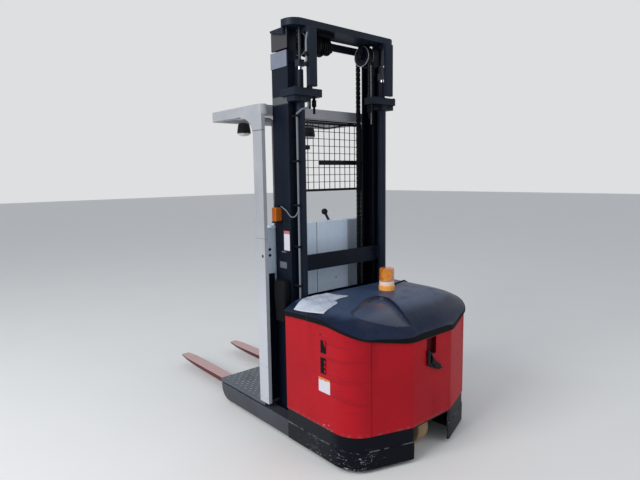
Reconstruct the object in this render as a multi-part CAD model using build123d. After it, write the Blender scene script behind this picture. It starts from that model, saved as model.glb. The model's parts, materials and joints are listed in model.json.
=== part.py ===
from build123d import *
import math
import os

os.makedirs("parts", exist_ok=True)

# Millimetres. X is measured forward from the rear face, Y to the left, Z up from the floor.
# Every node is moved back to the middle of the length when it is written, so the part's
# origin is on the floor under the middle of the truck.

# Overall sizes
HALF_WIDTH = 555
BODY_FRONT = 708
FORK_TIP = 2424
FLOOR_GAP = 22
HANDLE_PROUD = 14

# Clearances
RUNNING = 0.05
SLIDING = 0.2
SEAT = 0.05

# Plan of the rear body: flat sides, two slanting rear corners and a narrow rear face
REAR_HALF = 180
CORNER_X = 132
CORNER_R = 175
REAR_CORNER_R = 30

# Skirt, panels and the joint line between panels and hood
SKIRT_WALL = 12
SKIRT_STEP = 128
PANEL_LOW = 217
SKIRT_LAP = 20
SHEET = 4
RIM_FRONT = 834
RIM_REAR = 733
RIM_FALL_FRONT = 340
RIM_FALL_REAR = 57
RIM_FALL_DROP = 78
RIM_FLAT_FRONT = 8
RIM_NOSE_DROP = 14
PANEL_SEAM = 89
SEAM_GAP = 2

# Hood
HOOD_TOP = 900
HOOD_WALL = 5
HOOD_OVER = 7
HOOD_FLAT_HALF = HALF_WIDTH - 125
HINGE_X = BODY_FRONT - 14
HINGE_Z = HOOD_TOP - 13
HINGE_Y = 204
HINGE_PIN_R = 5
LUG_W = 16
EAR_T = 10
EAR_GAP = 6

# Base frame and what stands on it
FRAME_LOW = 26
FRAME_TOP = 44
FOOT_TOP = 60
BULKHEAD_X = BODY_FRONT - 18
BULKHEAD_T = 8
BULKHEAD_TOP = RIM_FRONT - 22
BATTERY_LENGTH = 300
BATTERY_TOP = 560
BAY_HALF = 300
BAY_FRONT = 348
BAY_PLATE = 8
SHELF_LOW = 338
SHELF_TOP = 350

# Drive unit
DRIVE_X = 190
DRIVE_R = 127
DRIVE_W = 96
DRIVE_HUB_R = 92
DRIVE_AXLE_R = 20
TURRET_R = 112
FLANGE_R = 134
MOTOR_R = 84
MOTOR_TOP = 600
GEAR_HALF = 48
GEAR_GAP = 8
TYRE_CLEAR = 22
REAR_OPENING_HALF = 164
REAR_OPENING_TOP = 207

# Straddle legs and load wheels
LEG_OUT = HALF_WIDTH - 5
LEG_WIDTH = 82
LEG_IN = LEG_OUT - LEG_WIDTH
LEG_TOP = 132
LEG_TIP = 1525
LEG_TIP_R = 92
LEG_PLATE = 10
LEG_REAR = BODY_FRONT - 8
LOAD_X = 1440
LOAD_R = 58
LOAD_HUB_R = 42
LOAD_AXLE_R = 12
LOAD_SIDE_GAP = 6
LOAD_W = LEG_WIDTH - 2 * LEG_PLATE - 2 * LOAD_SIDE_GAP

# Mast
MAST_REAR = 780
MAST_DEPTH = 163
MAST_FRONT = MAST_REAR + MAST_DEPTH
MAST_HALF = LEG_IN - 31
WEB = 12
FLANGE = 16
FLANGE_IN = MAST_HALF - 60
OUTER_TOP = 2430
CROSS_LOW = 1050
CROSS_HIGH = 1155
INNER_REAR = MAST_REAR + FLANGE + 7
INNER_FRONT = MAST_FRONT - FLANGE - 7
INNER_OUT = MAST_HALF - WEB - 5
INNER_IN = INNER_OUT - 75
INNER_BASE = FOOT_TOP + 15
ROLLER_X = (INNER_REAR + INNER_FRONT) / 2
ROLLER_R = (INNER_FRONT - INNER_REAR) / 2 - WEB - SLIDING
PLATE_LOW = OUTER_TOP + 132
PLATE_T = 40
PLATE_HIGH = PLATE_LOW + PLATE_T
PLATE_HALF = MAST_HALF + 30
PLATE_STEP = MAST_REAR + 28
PLATE_FORE = MAST_REAR + 92
PLATE_FORE_HALF = INNER_IN - 20
PLATE_REAR = MAST_REAR - 90
PLATE_FRONT = MAST_FRONT - 8
LIP_LOW = PLATE_LOW - 42
LIP_HIGH = PLATE_LOW - 14

# Lift cylinders
CYL_X = MAST_REAR - 38
CYL_Y = MAST_HALF - 67
BARREL_R = 27
NECK_R = 21
ROD_R = 15
COLLAR_HIGH = OUTER_TOP - 231
COLLAR_T = 45
COLLAR_LOW = COLLAR_HIGH - COLLAR_T
CLAMP_LOW = COLLAR_LOW - 33
COLLAR_OUT = MAST_HALF + 20
NECK_TOP = OUTER_TOP - 118
ROD_HEAD_LOW = NECK_TOP + 18
ROD_HEAD_HIGH = NECK_TOP + 59
ROD_HEAD_HALF = 21
ROD_FOOT = 150

# Chains and their sheaves
SHEAVE_X = 825
SHEAVE_Y = INNER_IN - 70
SHEAVE_Z = PLATE_LOW - 74
SHEAVE_R = 58
SHEAVE_PIN_R = 12
CHAIN_HALF_W = 19
CHAIN_HALF_T = 9
CHAIN_WAIST = 6.5
LINK_PAIR = 31.75
ANCHOR_X = SHEAVE_X - SHEAVE_R
ANCHOR_TOP = COLLAR_HIGH + 26

# Cab
CAB_REAR = MAST_FRONT + 7
CAB_FRONT = CAB_REAR + 590
CAB_HALF = HALF_WIDTH - 9
BACK_T = 12
BACK_TOP = 560
DECK_LOW = 140
DECK_FRAME = 162
DECK_HIGH = 165
POST_REAR = MAST_FRONT - 28
POST_FRONT = POST_REAR + 100
POST_T = 26
POST_IN = CAB_HALF - POST_T
ROOF_LOW = 2056
ROOF_HIGH = 2120
ROOF_REAR = POST_REAR + 5
ROOF_FRONT = CAB_FRONT + 8
BEAM_W = 54
GATE_HOLE_X = POST_REAR + 25
GATE_HOLE_Z = 1158
GATE_HOLE_R = 5

# Console across the rear of the cab, with a sloping face for the hand wheel
CONSOLE_REAR = CAB_REAR + BACK_T
CONSOLE_LOW = 840
CONSOLE_TOP = 1344
CONSOLE_WALL = 3
CONSOLE_HALF = CAB_HALF - 116
SLOPE_REAR = CAB_REAR + 90
SLOPE_FRONT = CAB_REAR + 190
SLOPE_DROP = 74
DIAL_Y = 150
DIAL_TILT = math.atan2(SLOPE_FRONT - SLOPE_REAR, SLOPE_DROP)
DIAL_NORMAL = (math.cos(DIAL_TILT), 0, math.sin(DIAL_TILT))
DIAL_SPOT = ((SLOPE_REAR + SLOPE_FRONT) / 2, DIAL_Y, CONSOLE_TOP - SLOPE_DROP / 2)
SHAFT_R = 16
END_BOX_LOW = 1033
END_BOX_HIGH = 1332
HOOP_R = 14
HOOP_Y = CONSOLE_HALF - 22
HOOP_TOP = ROOF_LOW - 28

# Forks: the left one stands at the edge of the platform, the right one past the middle
FORK_W = 100
FORK_TOP = 94
FORK_BAR_HALF = LEG_IN - 7
FORK_BAR_REAR = CAB_FRONT - 40
FORK_HEEL = CAB_FRONT - 5
FORKS = {"left": FORK_BAR_HALF - FORK_W / 2 - 4, "right": -93}


def block(x0, x1, y0, y1, z0, z1):
    """A box between two corners."""
    middle = Pos((x0 + x1) / 2, (y0 + y1) / 2, (z0 + z1) / 2)
    return middle * Box(x1 - x0, y1 - y0, z1 - z0)


def upright(x, y, z0, z1, r):
    """A round bar along Z."""
    return Pos(x, y, (z0 + z1) / 2) * Cylinder(r, z1 - z0)


def across(x, y0, y1, z, r):
    """A round bar along Y."""
    return Pos(x, (y0 + y1) / 2, z) * Rot(90, 0, 0) * Cylinder(r, abs(y1 - y0))


def plate_along_y(outline, y0, y1):
    """A plate whose outline lies in the XZ plane, from y0 to y1."""
    return Pos(0, y0, 0) * extrude(make_face(outline), amount=y1 - y0, dir=(0, 1, 0))


def side_cut(points, y0, y1):
    """A plate with its outline given as (x, z) points, from y0 to y1."""
    return plate_along_y(Polyline(*[(x, 0, z) for x, z in points], close=True), y0, y1)


def plan_cut(points, z0, z1):
    """A plate with its outline given as (x, y) points, from z0 to z1."""
    face = make_face(Polyline(*[(x, y, 0) for x, y in points], close=True))
    return Pos(0, 0, z0) * extrude(face, amount=z1 - z0, dir=(0, 0, 1))


def tube(points, r, bend):
    """A round bar swept along straight runs with rounded bends."""
    path = FilletPolyline(*points, radius=bend)
    return sweep(Plane(path @ 0, z_dir=path % 0) * Circle(r), path=path)


def both(shape):
    """The shape and its mirror image on the other side of the truck."""
    return [shape, mirror(shape, about=Plane.XZ)]


WRITTEN = []


def save(node, *shapes):
    """Write one node, its solids moved to the part's origin."""
    solids = []
    for shape in shapes:
        solids += shape.solids()
    moved = [Pos(-(FORK_TIP - HANDLE_PROUD) / 2, 0, 0) * solid for solid in solids]
    shape = moved[0] if len(moved) == 1 else Compound(children=moved)
    export_step(shape, f"parts/{node}.step")
    WRITTEN.append(node)


# Body outline in plan
def body_outline(grow):
    """The plan outline, moved outward by grow."""
    run_y = HALF_WIDTH - REAR_HALF
    length = math.hypot(CORNER_X, run_y)
    nx = run_y / length
    ny = CORNER_X / length
    reach = ny * REAR_HALF + grow
    side_y = HALF_WIDTH + grow
    corner_x = (ny * side_y - reach) / nx
    rear_y = (reach - nx * grow) / ny
    points = [
        (BODY_FRONT, side_y),
        (corner_x, side_y),
        (-grow, rear_y),
        (-grow, -rear_y),
        (corner_x, -side_y),
        (BODY_FRONT, -side_y),
    ]
    face = make_face(Polyline(*points, close=True))
    face = fillet([v for v in face.vertices() if abs(v.X - corner_x) < 1], CORNER_R + grow)
    return fillet([v for v in face.vertices() if abs(v.X + grow) < 1], REAR_CORNER_R + grow)


def body_prism(grow, z0, z1):
    return Pos(0, 0, z0) * extrude(body_outline(grow), amount=z1 - z0, dir=(0, 0, 1))


def below_rim(shift):
    """Everything below the joint line, which falls in a long arc round the rear corners."""
    front = BODY_FRONT + 40
    rear = -60
    high = RIM_FRONT + shift
    low = RIM_REAR + shift
    fall = TangentArc(
        (RIM_FALL_FRONT, 0, high), (RIM_FALL_REAR, 0, high - RIM_FALL_DROP), tangent=(-1, 0, 0)
    )
    outline = Wire(
        [
            Line((front, 0, -50), (front, 0, high - RIM_NOSE_DROP)),
            Line((front, 0, high - RIM_NOSE_DROP), (BODY_FRONT - 228, 0, high)),
            Line((BODY_FRONT - 228, 0, high), (RIM_FALL_FRONT, 0, high)),
            fall,
            Line(fall @ 1, (RIM_FLAT_FRONT, 0, low)),
            Line((RIM_FLAT_FRONT, 0, low), (rear, 0, low)),
            Line((rear, 0, low), (rear, 0, -50)),
            Line((rear, 0, -50), (front, 0, -50)),
        ]
    )
    return plate_along_y(outline, -HALF_WIDTH - 100, HALF_WIDTH + 100)


# Skirt: a heavy lower band with a thinner band set back above it, open behind the drive wheel
inside_skirt = body_prism(-SKIRT_WALL, 0, HOOD_TOP)
skirt = body_prism(0, FLOOR_GAP, SKIRT_STEP) - inside_skirt
skirt += body_prism(-SHEET, SKIRT_STEP, PANEL_LOW + SKIRT_LAP) - inside_skirt
skirt -= block(-50, 60, -REAR_OPENING_HALF, REAR_OPENING_HALF, 0, REAR_OPENING_TOP)
skirt -= block(LEG_REAR, BODY_FRONT + 50, -HALF_WIDTH - 50, HALF_WIDTH + 50, 0, HOOD_TOP)
save("skirt", skirt)

# Base frame: floor plate, mast foot, drive bay with its shelf, and bulkhead with hinge ears
SKIRT_IN = HALF_WIDTH - SKIRT_WALL
floor_plate = block(BAY_FRONT - BAY_PLATE, MAST_FRONT, 10 - LEG_IN, LEG_IN - 10, FRAME_LOW, FRAME_TOP)
floor_plate += block(BAY_FRONT - BAY_PLATE, LEG_REAR - 2, 3 - SKIRT_IN, SKIRT_IN - 3, FRAME_LOW, FRAME_TOP)
foot = block(BODY_FRONT + 5, MAST_FRONT, -LEG_IN, LEG_IN, FRAME_TOP, FOOT_TOP)
bulkhead = block(
    BULKHEAD_X, BULKHEAD_X + BULKHEAD_T, 8 - SKIRT_IN, SKIRT_IN - 8, FRAME_TOP, BULKHEAD_TOP
)
EAR_R = 7
for inner_y in (HINGE_Y - LUG_W / 2 - EAR_GAP - EAR_T, HINGE_Y + LUG_W / 2 + EAR_GAP):
    ear = block(HINGE_X - EAR_R, HINGE_X + EAR_R, inner_y, inner_y + EAR_T, BULKHEAD_TOP - 10, HINGE_Z)
    ear += across(HINGE_X, inner_y, inner_y + EAR_T, HINGE_Z, EAR_R)
    for one in both(ear):
        bulkhead += one
HINGE_SPAN = LUG_W / 2 + EAR_GAP + EAR_T
for hinge_pin in both(across(HINGE_X, HINGE_Y - HINGE_SPAN, HINGE_Y + HINGE_SPAN, HINGE_Z, HINGE_PIN_R)):
    bulkhead += hinge_pin
shelf = block(30, BAY_FRONT, -BAY_HALF, BAY_HALF, SHELF_LOW, SHELF_TOP)
shelf -= upright(DRIVE_X, 0, SHELF_LOW - 30, SHELF_TOP + 30, TURRET_R + RUNNING)
stiff = block(BAY_FRONT - BAY_PLATE, BAY_FRONT, -BAY_HALF, BAY_HALF, FRAME_TOP, SHELF_LOW)
cheek = block(60, BAY_FRONT, BAY_HALF - BAY_PLATE, BAY_HALF, FRAME_TOP, SHELF_LOW)
rail = block(60, BAY_FRONT, BAY_HALF - BAY_PLATE, 500, FRAME_LOW, FRAME_TOP)
frame = floor_plate + foot + bulkhead + shelf + stiff
for one in both(cheek) + both(rail):
    frame += one
rear_zone = block(-50, BAY_FRONT - BAY_PLATE, -HALF_WIDTH - 50, HALF_WIDTH + 50, 0, RIM_FRONT)
frame -= rear_zone - body_prism(-SKIRT_WALL - SHEET, 0, RIM_FRONT)
save("base_frame", frame)

# Painted side and rear panels, with louvres on both sides and a latch pocket behind
shell = body_prism(0, PANEL_LOW, HOOD_TOP) - body_prism(-SHEET, 0, HOOD_TOP + 50)
shell &= below_rim(-5)
shell -= block(BODY_FRONT - 6, BODY_FRONT + 50, -HALF_WIDTH - 50, HALF_WIDTH + 50, 0, HOOD_TOP + 50)
# Each group of louvres: rear edge, front edge, lower edge, upper edge
LOUVRES = [(326, 368, 668, 738), (328, 370, 546, 636)]
SLOTS = 3
SLOT_BAR = 3
for rear, front, low, high in LOUVRES:
    pitch = (front - rear) / SLOTS
    for k in range(SLOTS):
        x = rear + k * pitch
        slot = block(x + SLOT_BAR, x + pitch - SLOT_BAR, HALF_WIDTH - 55, HALF_WIDTH + 45, low, high)
        for one in both(slot):
            shell -= one
POCKET_Y = 16
POCKET_HALF = 46
POCKET_LOW = 618
POCKET_HIGH = 720
shell -= block(-20, 20, POCKET_Y - POCKET_HALF, POCKET_Y + POCKET_HALF, POCKET_LOW, POCKET_HIGH)
side_front = PANEL_SEAM + SEAM_GAP / 2
left_panel = shell & block(side_front, 800, 0, HALF_WIDTH + 50, 0, HOOD_TOP + 50)
right_panel = shell & block(side_front, 800, -HALF_WIDTH - 50, 0, 0, HOOD_TOP + 50)
rear_panel = shell & block(
    -50, PANEL_SEAM - SEAM_GAP / 2, -HALF_WIDTH - 50, HALF_WIDTH + 50, 0, HOOD_TOP + 50
)
save("side_panels", left_panel, right_panel)
save("rear_panel", rear_panel)

# Latch pocket, with a T handle and a bent lever in front of it
POCKET_DEPTH = 31
POCKET_WALL = 4
tray = block(
    SHEET,
    POCKET_DEPTH + 3,
    POCKET_Y - POCKET_HALF - POCKET_WALL,
    POCKET_Y + POCKET_HALF + POCKET_WALL,
    POCKET_LOW - POCKET_WALL,
    POCKET_HIGH + POCKET_WALL,
)
tray -= block(-10, POCKET_DEPTH, POCKET_Y - POCKET_HALF, POCKET_Y + POCKET_HALF, POCKET_LOW, POCKET_HIGH)
HANDLE_Y = POCKET_Y + 14
HANDLE_LOW = POCKET_LOW - 69
HANDLE_BACK = -HANDLE_PROUD + 10
LEVER_R = 5
LEVER_X = HANDLE_BACK - LEVER_R
handle = block(-HANDLE_PROUD, HANDLE_BACK, HANDLE_Y - 8, HANDLE_Y + 8, HANDLE_LOW, POCKET_LOW + 22)
handle += block(HANDLE_BACK, POCKET_DEPTH, HANDLE_Y - 4, HANDLE_Y + 4, POCKET_LOW + 6, POCKET_LOW + 16)
lever_path = [
    (LEVER_X, HANDLE_Y, HANDLE_LOW + 7),
    (LEVER_X, HANDLE_Y - 40, HANDLE_LOW - 19),
    (LEVER_X, HANDLE_Y - 106, HANDLE_LOW - 33),
]
handle += tube(lever_path, LEVER_R, 10)
save("hood_latch", tray, handle)

# Hood: a crowned cover lofted through sections, hollow below, with a low edge all round
HOOD_HALF = HALF_WIDTH + HOOD_OVER + 10
# Each section: place along the truck, half width, drop of its edge, half width of its flat, drop of the crown
HOOD_SECTIONS = [
    (BODY_FRONT + 2, HOOD_HALF, 63, HOOD_FLAT_HALF, 0),
    (430, HOOD_HALF, 46, HOOD_FLAT_HALF - 16, 4),
    (340, HOOD_HALF, 45, HOOD_FLAT_HALF - 30, 8),
    (229, HOOD_HALF, 67, HOOD_FLAT_HALF - 70, 21),
    (164, HOOD_HALF - 16, 88, HOOD_FLAT_HALF - 110, 36),
    (100, HOOD_HALF - 72, 125, HOOD_FLAT_HALF - 170, 60),
    (57, HOOD_HALF - 177, 144, REAR_HALF + 20, 84),
    (10, REAR_HALF + 82, 167, REAR_HALF - 60, 124),
    (-12, REAR_HALF + 35, 155, REAR_HALF - 90, 144),
]


def hood_section(x, half, low_edge, flat, crown):
    """Straight sides, an arc over each shoulder and a flat crown."""
    low = HOOD_TOP - 340
    mid_y = half - (half - flat) * 0.30
    mid_z = low_edge + (crown - low_edge) * 0.54
    outline = Wire(
        [
            Line((x, half, low), (x, half, low_edge)),
            ThreePointArc((x, half, low_edge), (x, mid_y, mid_z), (x, flat, crown)),
            Line((x, flat, crown), (x, -flat, crown)),
            ThreePointArc((x, -flat, crown), (x, -mid_y, mid_z), (x, -half, low_edge)),
            Line((x, -half, low_edge), (x, -half, low)),
            Line((x, -half, low), (x, half, low)),
        ]
    )
    return make_face(outline)


def hood_solid(shrink):
    """The hood's form, its top lowered by shrink."""
    top = HOOD_TOP - shrink
    sections = [
        hood_section(x, half, top - edge_drop, flat, top - crown_drop)
        for x, half, edge_drop, flat, crown_drop in HOOD_SECTIONS
    ]
    return loft(sections, ruled=True)


hood = (hood_solid(0) & body_prism(HOOD_OVER, 600, HOOD_TOP + 100)) - below_rim(-1)
hood -= hood_solid(HOOD_WALL) & body_prism(HOOD_OVER - 8, 500, HOOD_TOP + 100)
hood -= block(BODY_FRONT - 5, BODY_FRONT + 60, -HALF_WIDTH - 50, HALF_WIDTH + 50, 0, HOOD_TOP + 100)
lug = block(
    HINGE_X - 9, HINGE_X + 6, HINGE_Y - LUG_W / 2, HINGE_Y + LUG_W / 2, HINGE_Z - 9, HOOD_TOP - HOOD_WALL + 1
)
lug -= across(HINGE_X, HINGE_Y - LUG_W, HINGE_Y + LUG_W, HINGE_Z, HINGE_PIN_R + RUNNING)
for one in both(lug):
    hood += one
save("hood", hood)

# Battery under the hood, one plain block
battery_front = BULKHEAD_X - 20
battery_half = HALF_WIDTH - 95
save(
    "battery",
    block(battery_front - BATTERY_LENGTH, battery_front, -battery_half, battery_half, FRAME_TOP, BATTERY_TOP),
)

# Drive unit: motor above the shelf, gear case beside the wheel below it
turret = upright(DRIVE_X, 0, SHELF_TOP + 22, MOTOR_TOP, MOTOR_R)
turret += upright(DRIVE_X, 0, SHELF_TOP + RUNNING, SHELF_TOP + 22, FLANGE_R)
turret += upright(DRIVE_X, 0, SHELF_LOW - 22, SHELF_TOP + 1, TURRET_R)
gear_in = -DRIVE_W / 2 - GEAR_GAP
head_low = 2 * DRIVE_R + TYRE_CLEAR
head_high = SHELF_LOW - 20
turret += block(DRIVE_X - GEAR_HALF, DRIVE_X + GEAR_HALF, -TURRET_R, gear_in, DRIVE_R - 43, head_high)
turret += across(DRIVE_X, -TURRET_R, gear_in, DRIVE_R, 60)
turret += block(DRIVE_X - 60, DRIVE_X + 60, -TURRET_R, 60, head_low, head_high)
turret += across(DRIVE_X, gear_in - 2, DRIVE_W / 2 - 2, DRIVE_R, DRIVE_AXLE_R)
save("drive_turret", turret)
hub = across(DRIVE_X, 2 - DRIVE_W / 2, DRIVE_W / 2 - 2, DRIVE_R, DRIVE_HUB_R)
hub -= across(DRIVE_X, -DRIVE_W, DRIVE_W, DRIVE_R, DRIVE_AXLE_R + RUNNING)
hub -= across(DRIVE_X, DRIVE_W / 2 - 22, DRIVE_W, DRIVE_R, DRIVE_HUB_R - 22)
save("drive_hub", hub)


def solid_tyre(x, y, r, width, edge, bore):
    """A solid tyre with chamfered edges, about an axle along Y."""
    tyre = across(x, y - width / 2, y + width / 2, r, r)
    tyre = chamfer(tyre.edges().filter_by(GeomType.CIRCLE), edge)
    return tyre - across(x, y - width, y + width, r, bore)


save("drive_tyre", solid_tyre(DRIVE_X, 0, DRIVE_R, DRIVE_W, 6, DRIVE_HUB_R))

# Straddle legs, open below, with rounded tips and a load wheel in each
leg_foot = Line((LEG_REAR, 0, FLOOR_GAP), (LEG_TIP - LEG_TIP_R, 0, FLOOR_GAP))
tip_arc = TangentArc(leg_foot @ 1, (LEG_TIP, 0, FLOOR_GAP + LEG_TIP_R), tangent=(1, 0, 0))
leg_outline = Wire(
    [
        leg_foot,
        tip_arc,
        Line(tip_arc @ 1, (LEG_TIP, 0, LEG_TOP)),
        Line((LEG_TIP, 0, LEG_TOP), (LEG_REAR, 0, LEG_TOP)),
        Line((LEG_REAR, 0, LEG_TOP), (LEG_REAR, 0, FLOOR_GAP)),
    ]
)
leg = plate_along_y(leg_outline, LEG_IN, LEG_OUT)
wheel_room = LOAD_R + 8
# Each pocket under the leg: rear end, front end
LEG_POCKETS = [
    (LOAD_X - wheel_room, LOAD_X + wheel_room),
    (BODY_FRONT + 20, LOAD_X - wheel_room - 24),
]
for rear, front in LEG_POCKETS:
    leg -= block(rear, front, LEG_IN + LEG_PLATE, LEG_OUT - LEG_PLATE, -10, LEG_TOP - 8)
leg += across(LOAD_X, LEG_IN - 3, LEG_OUT - 2, LOAD_R, LOAD_AXLE_R)
save("straddle_legs", *both(leg))
load_y = (LEG_IN + LEG_OUT) / 2
load_hub = across(LOAD_X, load_y - LOAD_W / 2, load_y + LOAD_W / 2, LOAD_R, LOAD_HUB_R)
load_hub -= across(LOAD_X, load_y - LOAD_W, load_y + LOAD_W, LOAD_R, LOAD_AXLE_R + RUNNING)
load_tyre = solid_tyre(LOAD_X, load_y, LOAD_R, LOAD_W, 4, LOAD_HUB_R)
for part, shape in (("hub", load_hub), ("tyre", load_tyre)):
    for side, one in zip(("left", "right"), both(shape)):
        save(f"load_{part}_{side}", one)

# Outer mast: two channels joined behind by two cross members
web = block(MAST_REAR, MAST_FRONT, MAST_HALF - WEB, MAST_HALF, FOOT_TOP, OUTER_TOP)
for rear in (MAST_REAR, MAST_FRONT - FLANGE):
    web += block(rear, rear + FLANGE, FLANGE_IN, MAST_HALF, FOOT_TOP, OUTER_TOP)
outer = both(web)
LAMP_X = 890
LAMP_HALF = 22
LAMP_LOW = 1381
LAMP_HIGH = 1472
for low, high in ((FOOT_TOP, 180), (CROSS_LOW, CROSS_HIGH)):
    outer.append(block(MAST_REAR, MAST_REAR + FLANGE, -FLANGE_IN, FLANGE_IN, low, high))
outer += both(block(LAMP_X - 18, LAMP_X + 18, MAST_HALF, MAST_HALF + 33, LAMP_HIGH, LAMP_HIGH + 12))
outer_mast = outer[0]
for one in outer[1:]:
    outer_mast += one
save("outer_mast", outer_mast)
head_plate = block(MAST_REAR, MAST_FRONT, MAST_HALF, MAST_HALF + 8, OUTER_TOP - 98, OUTER_TOP - 1)
save("mast_head_plates", *both(head_plate))

# Collars that hold the cylinders near the top of the outer mast, with the chain anchors
collar = block(CYL_X - 58, MAST_REAR, SHEAVE_Y - 43, COLLAR_OUT, COLLAR_LOW, COLLAR_HIGH)
collar += block(MAST_REAR, MAST_REAR + 52, MAST_HALF, COLLAR_OUT, COLLAR_LOW, COLLAR_HIGH)
collar += block(CYL_X - 38, MAST_REAR, CYL_Y - 44, MAST_HALF + 9, CLAMP_LOW, COLLAR_LOW)
collar = chamfer(collar.edges().filter_by(Axis.Z).group_by(Axis.X)[0], 12)
collar -= upright(CYL_X, CYL_Y, CLAMP_LOW - 50, COLLAR_HIGH + 50, BARREL_R + RUNNING)
collar += upright(ANCHOR_X, SHEAVE_Y, CLAMP_LOW - 31, COLLAR_HIGH + 12, 8)
collar += block(ANCHOR_X - 12, ANCHOR_X + 12, SHEAVE_Y - 16, SHEAVE_Y + 16, COLLAR_HIGH, ANCHOR_TOP)
save("mast_collars", *both(collar))

# Lift cylinders: barrels on the outer mast, rods on the inner mast
barrel = upright(CYL_X, CYL_Y, FOOT_TOP, COLLAR_HIGH, BARREL_R)
barrel += upright(CYL_X, CYL_Y, COLLAR_HIGH, NECK_TOP, NECK_R)
barrel -= upright(CYL_X, CYL_Y, FOOT_TOP + 20, NECK_TOP - 60, ROD_R + 3)
barrel -= upright(CYL_X, CYL_Y, NECK_TOP - 70, NECK_TOP + 10, ROD_R + RUNNING)
save("lift_barrels", *both(barrel))
lift_rod = upright(CYL_X, CYL_Y, ROD_FOOT, ROD_HEAD_LOW, ROD_R)
lift_rod += block(
    CYL_X - ROD_HEAD_HALF,
    CYL_X + ROD_HEAD_HALF,
    CYL_Y - ROD_HEAD_HALF,
    CYL_Y + ROD_HEAD_HALF,
    ROD_HEAD_LOW,
    ROD_HEAD_HIGH,
)
lift_rod += upright(CYL_X, CYL_Y, ROD_HEAD_HIGH, PLATE_LOW, 9)
save("lift_rods", *both(lift_rod))

# Inner mast: two channels inside the outer ones, with wear pads and two cross members
side = block(INNER_REAR, INNER_FRONT, INNER_OUT - WEB, INNER_OUT, INNER_BASE, PLATE_LOW)
for rear in (INNER_REAR, INNER_FRONT - WEB):
    side += block(rear, rear + WEB, INNER_IN, INNER_OUT, INNER_BASE, PLATE_LOW)
side += block(MAST_REAR, MAST_FRONT, INNER_OUT, MAST_HALF, OUTER_TOP + 11, PLATE_LOW)
pad_out = MAST_HALF - WEB - SLIDING
for low in (INNER_BASE + 105, OUTER_TOP - 140):
    side += block(ROLLER_X - 31.5, ROLLER_X + 31.5, INNER_OUT, pad_out, low, low + 100)
inner_mast, other = both(side)
inner_mast += block(INNER_REAR, INNER_REAR + WEB, -INNER_IN, INNER_IN, INNER_BASE + 125, INNER_BASE + 225)
inner_mast += block(INNER_FRONT - WEB, INNER_FRONT, -INNER_IN, INNER_IN, PLATE_LOW - 50, PLATE_LOW)
save("inner_mast", inner_mast + other)

# Top plate, wide with round corners behind and short beside the mast, with a nose under each end
plan = make_face(
    Polyline(
        (PLATE_REAR, -PLATE_HALF),
        (PLATE_REAR, PLATE_HALF),
        (PLATE_STEP, PLATE_HALF),
        (PLATE_STEP, PLATE_FORE_HALF),
        (PLATE_FORE, PLATE_FORE_HALF),
        (PLATE_FORE, -PLATE_FORE_HALF),
        (PLATE_STEP, -PLATE_FORE_HALF),
        (PLATE_STEP, -PLATE_HALF),
        close=True,
    )
)
plan = fillet([v for v in plan.vertices() if v.X < MAST_REAR], 84)
plan = fillet([v for v in plan.vertices() if abs(v.X - PLATE_STEP) < 1 and abs(v.Y) > MAST_HALF + 1], 16)
top_plate = Pos(0, 0, PLATE_LOW) * extrude(plan, amount=PLATE_T, dir=(0, 0, 1))
nose = side_cut(
    [
        (PLATE_STEP - 16, LIP_LOW),
        (PLATE_FRONT - 10, LIP_LOW + 29),
        (PLATE_FRONT - 10, PLATE_LOW - 1),
        (PLATE_STEP, PLATE_LOW - 1),
        (PLATE_STEP - 4, PLATE_LOW + 10),
        (PLATE_STEP - 16, PLATE_LOW + 10),
    ],
    MAST_HALF,
    MAST_HALF + 20,
)
for one in both(nose):
    top_plate += one
save("mast_top_plate", top_plate)

# Guide bars behind the cylinder rods, each held by an arm under the top plate
BAR_X = CYL_X - 100
bar = block(BAR_X, BAR_X + 30, CYL_Y - 59, CYL_Y + 7, COLLAR_HIGH + 7, LIP_HIGH)
bar += block(BAR_X + 30, CYL_X - 12, CYL_Y - 46, CYL_Y - 6, LIP_HIGH - 18, PLATE_LOW)
bar = chamfer(bar.edges().filter_by(Axis.Z).group_by(Axis.X)[0], 6)
save("rod_guide_bars", *both(bar))


def sheave(x, y, z, r, half, bore):
    """A grooved wheel on an axle along Y, with its web thinner than rim and hub."""
    rim = half + 4
    profile = [
        (bore, rim),
        (bore + 10, rim),
        (bore + 14, rim - 8),
        (r - 20, rim - 8),
        (r - 16, rim),
        (r + 12, rim),
        (r + 12, half),
        (r - 9, half),
        (r - 9, -half),
        (r + 12, -half),
        (r + 12, -rim),
        (r - 16, -rim),
        (r - 20, 8 - rim),
        (bore + 14, 8 - rim),
        (bore + 10, -rim),
        (bore, -rim),
    ]
    face = make_face(Polyline(*[(a, 0, b) for a, b in profile], close=True))
    return Pos(x, y, z) * Rot(90, 0, 0) * revolve(face, axis=Axis.Z)


def hanger(x, y, z, half_x, inner, thick, drop, pin_r):
    """Two cheeks under the top plate with a pin through them."""
    shape = across(x, y - inner - thick - 4, y + inner + thick + 4, z, pin_r)
    for low in (y + inner, y - inner - thick):
        cheek = block(x - half_x, x + half_x, low, low + thick, z, PLATE_LOW)
        cheek += across(x, low, low + thick, z, half_x)
        shape += cheek
    return shape


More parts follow.
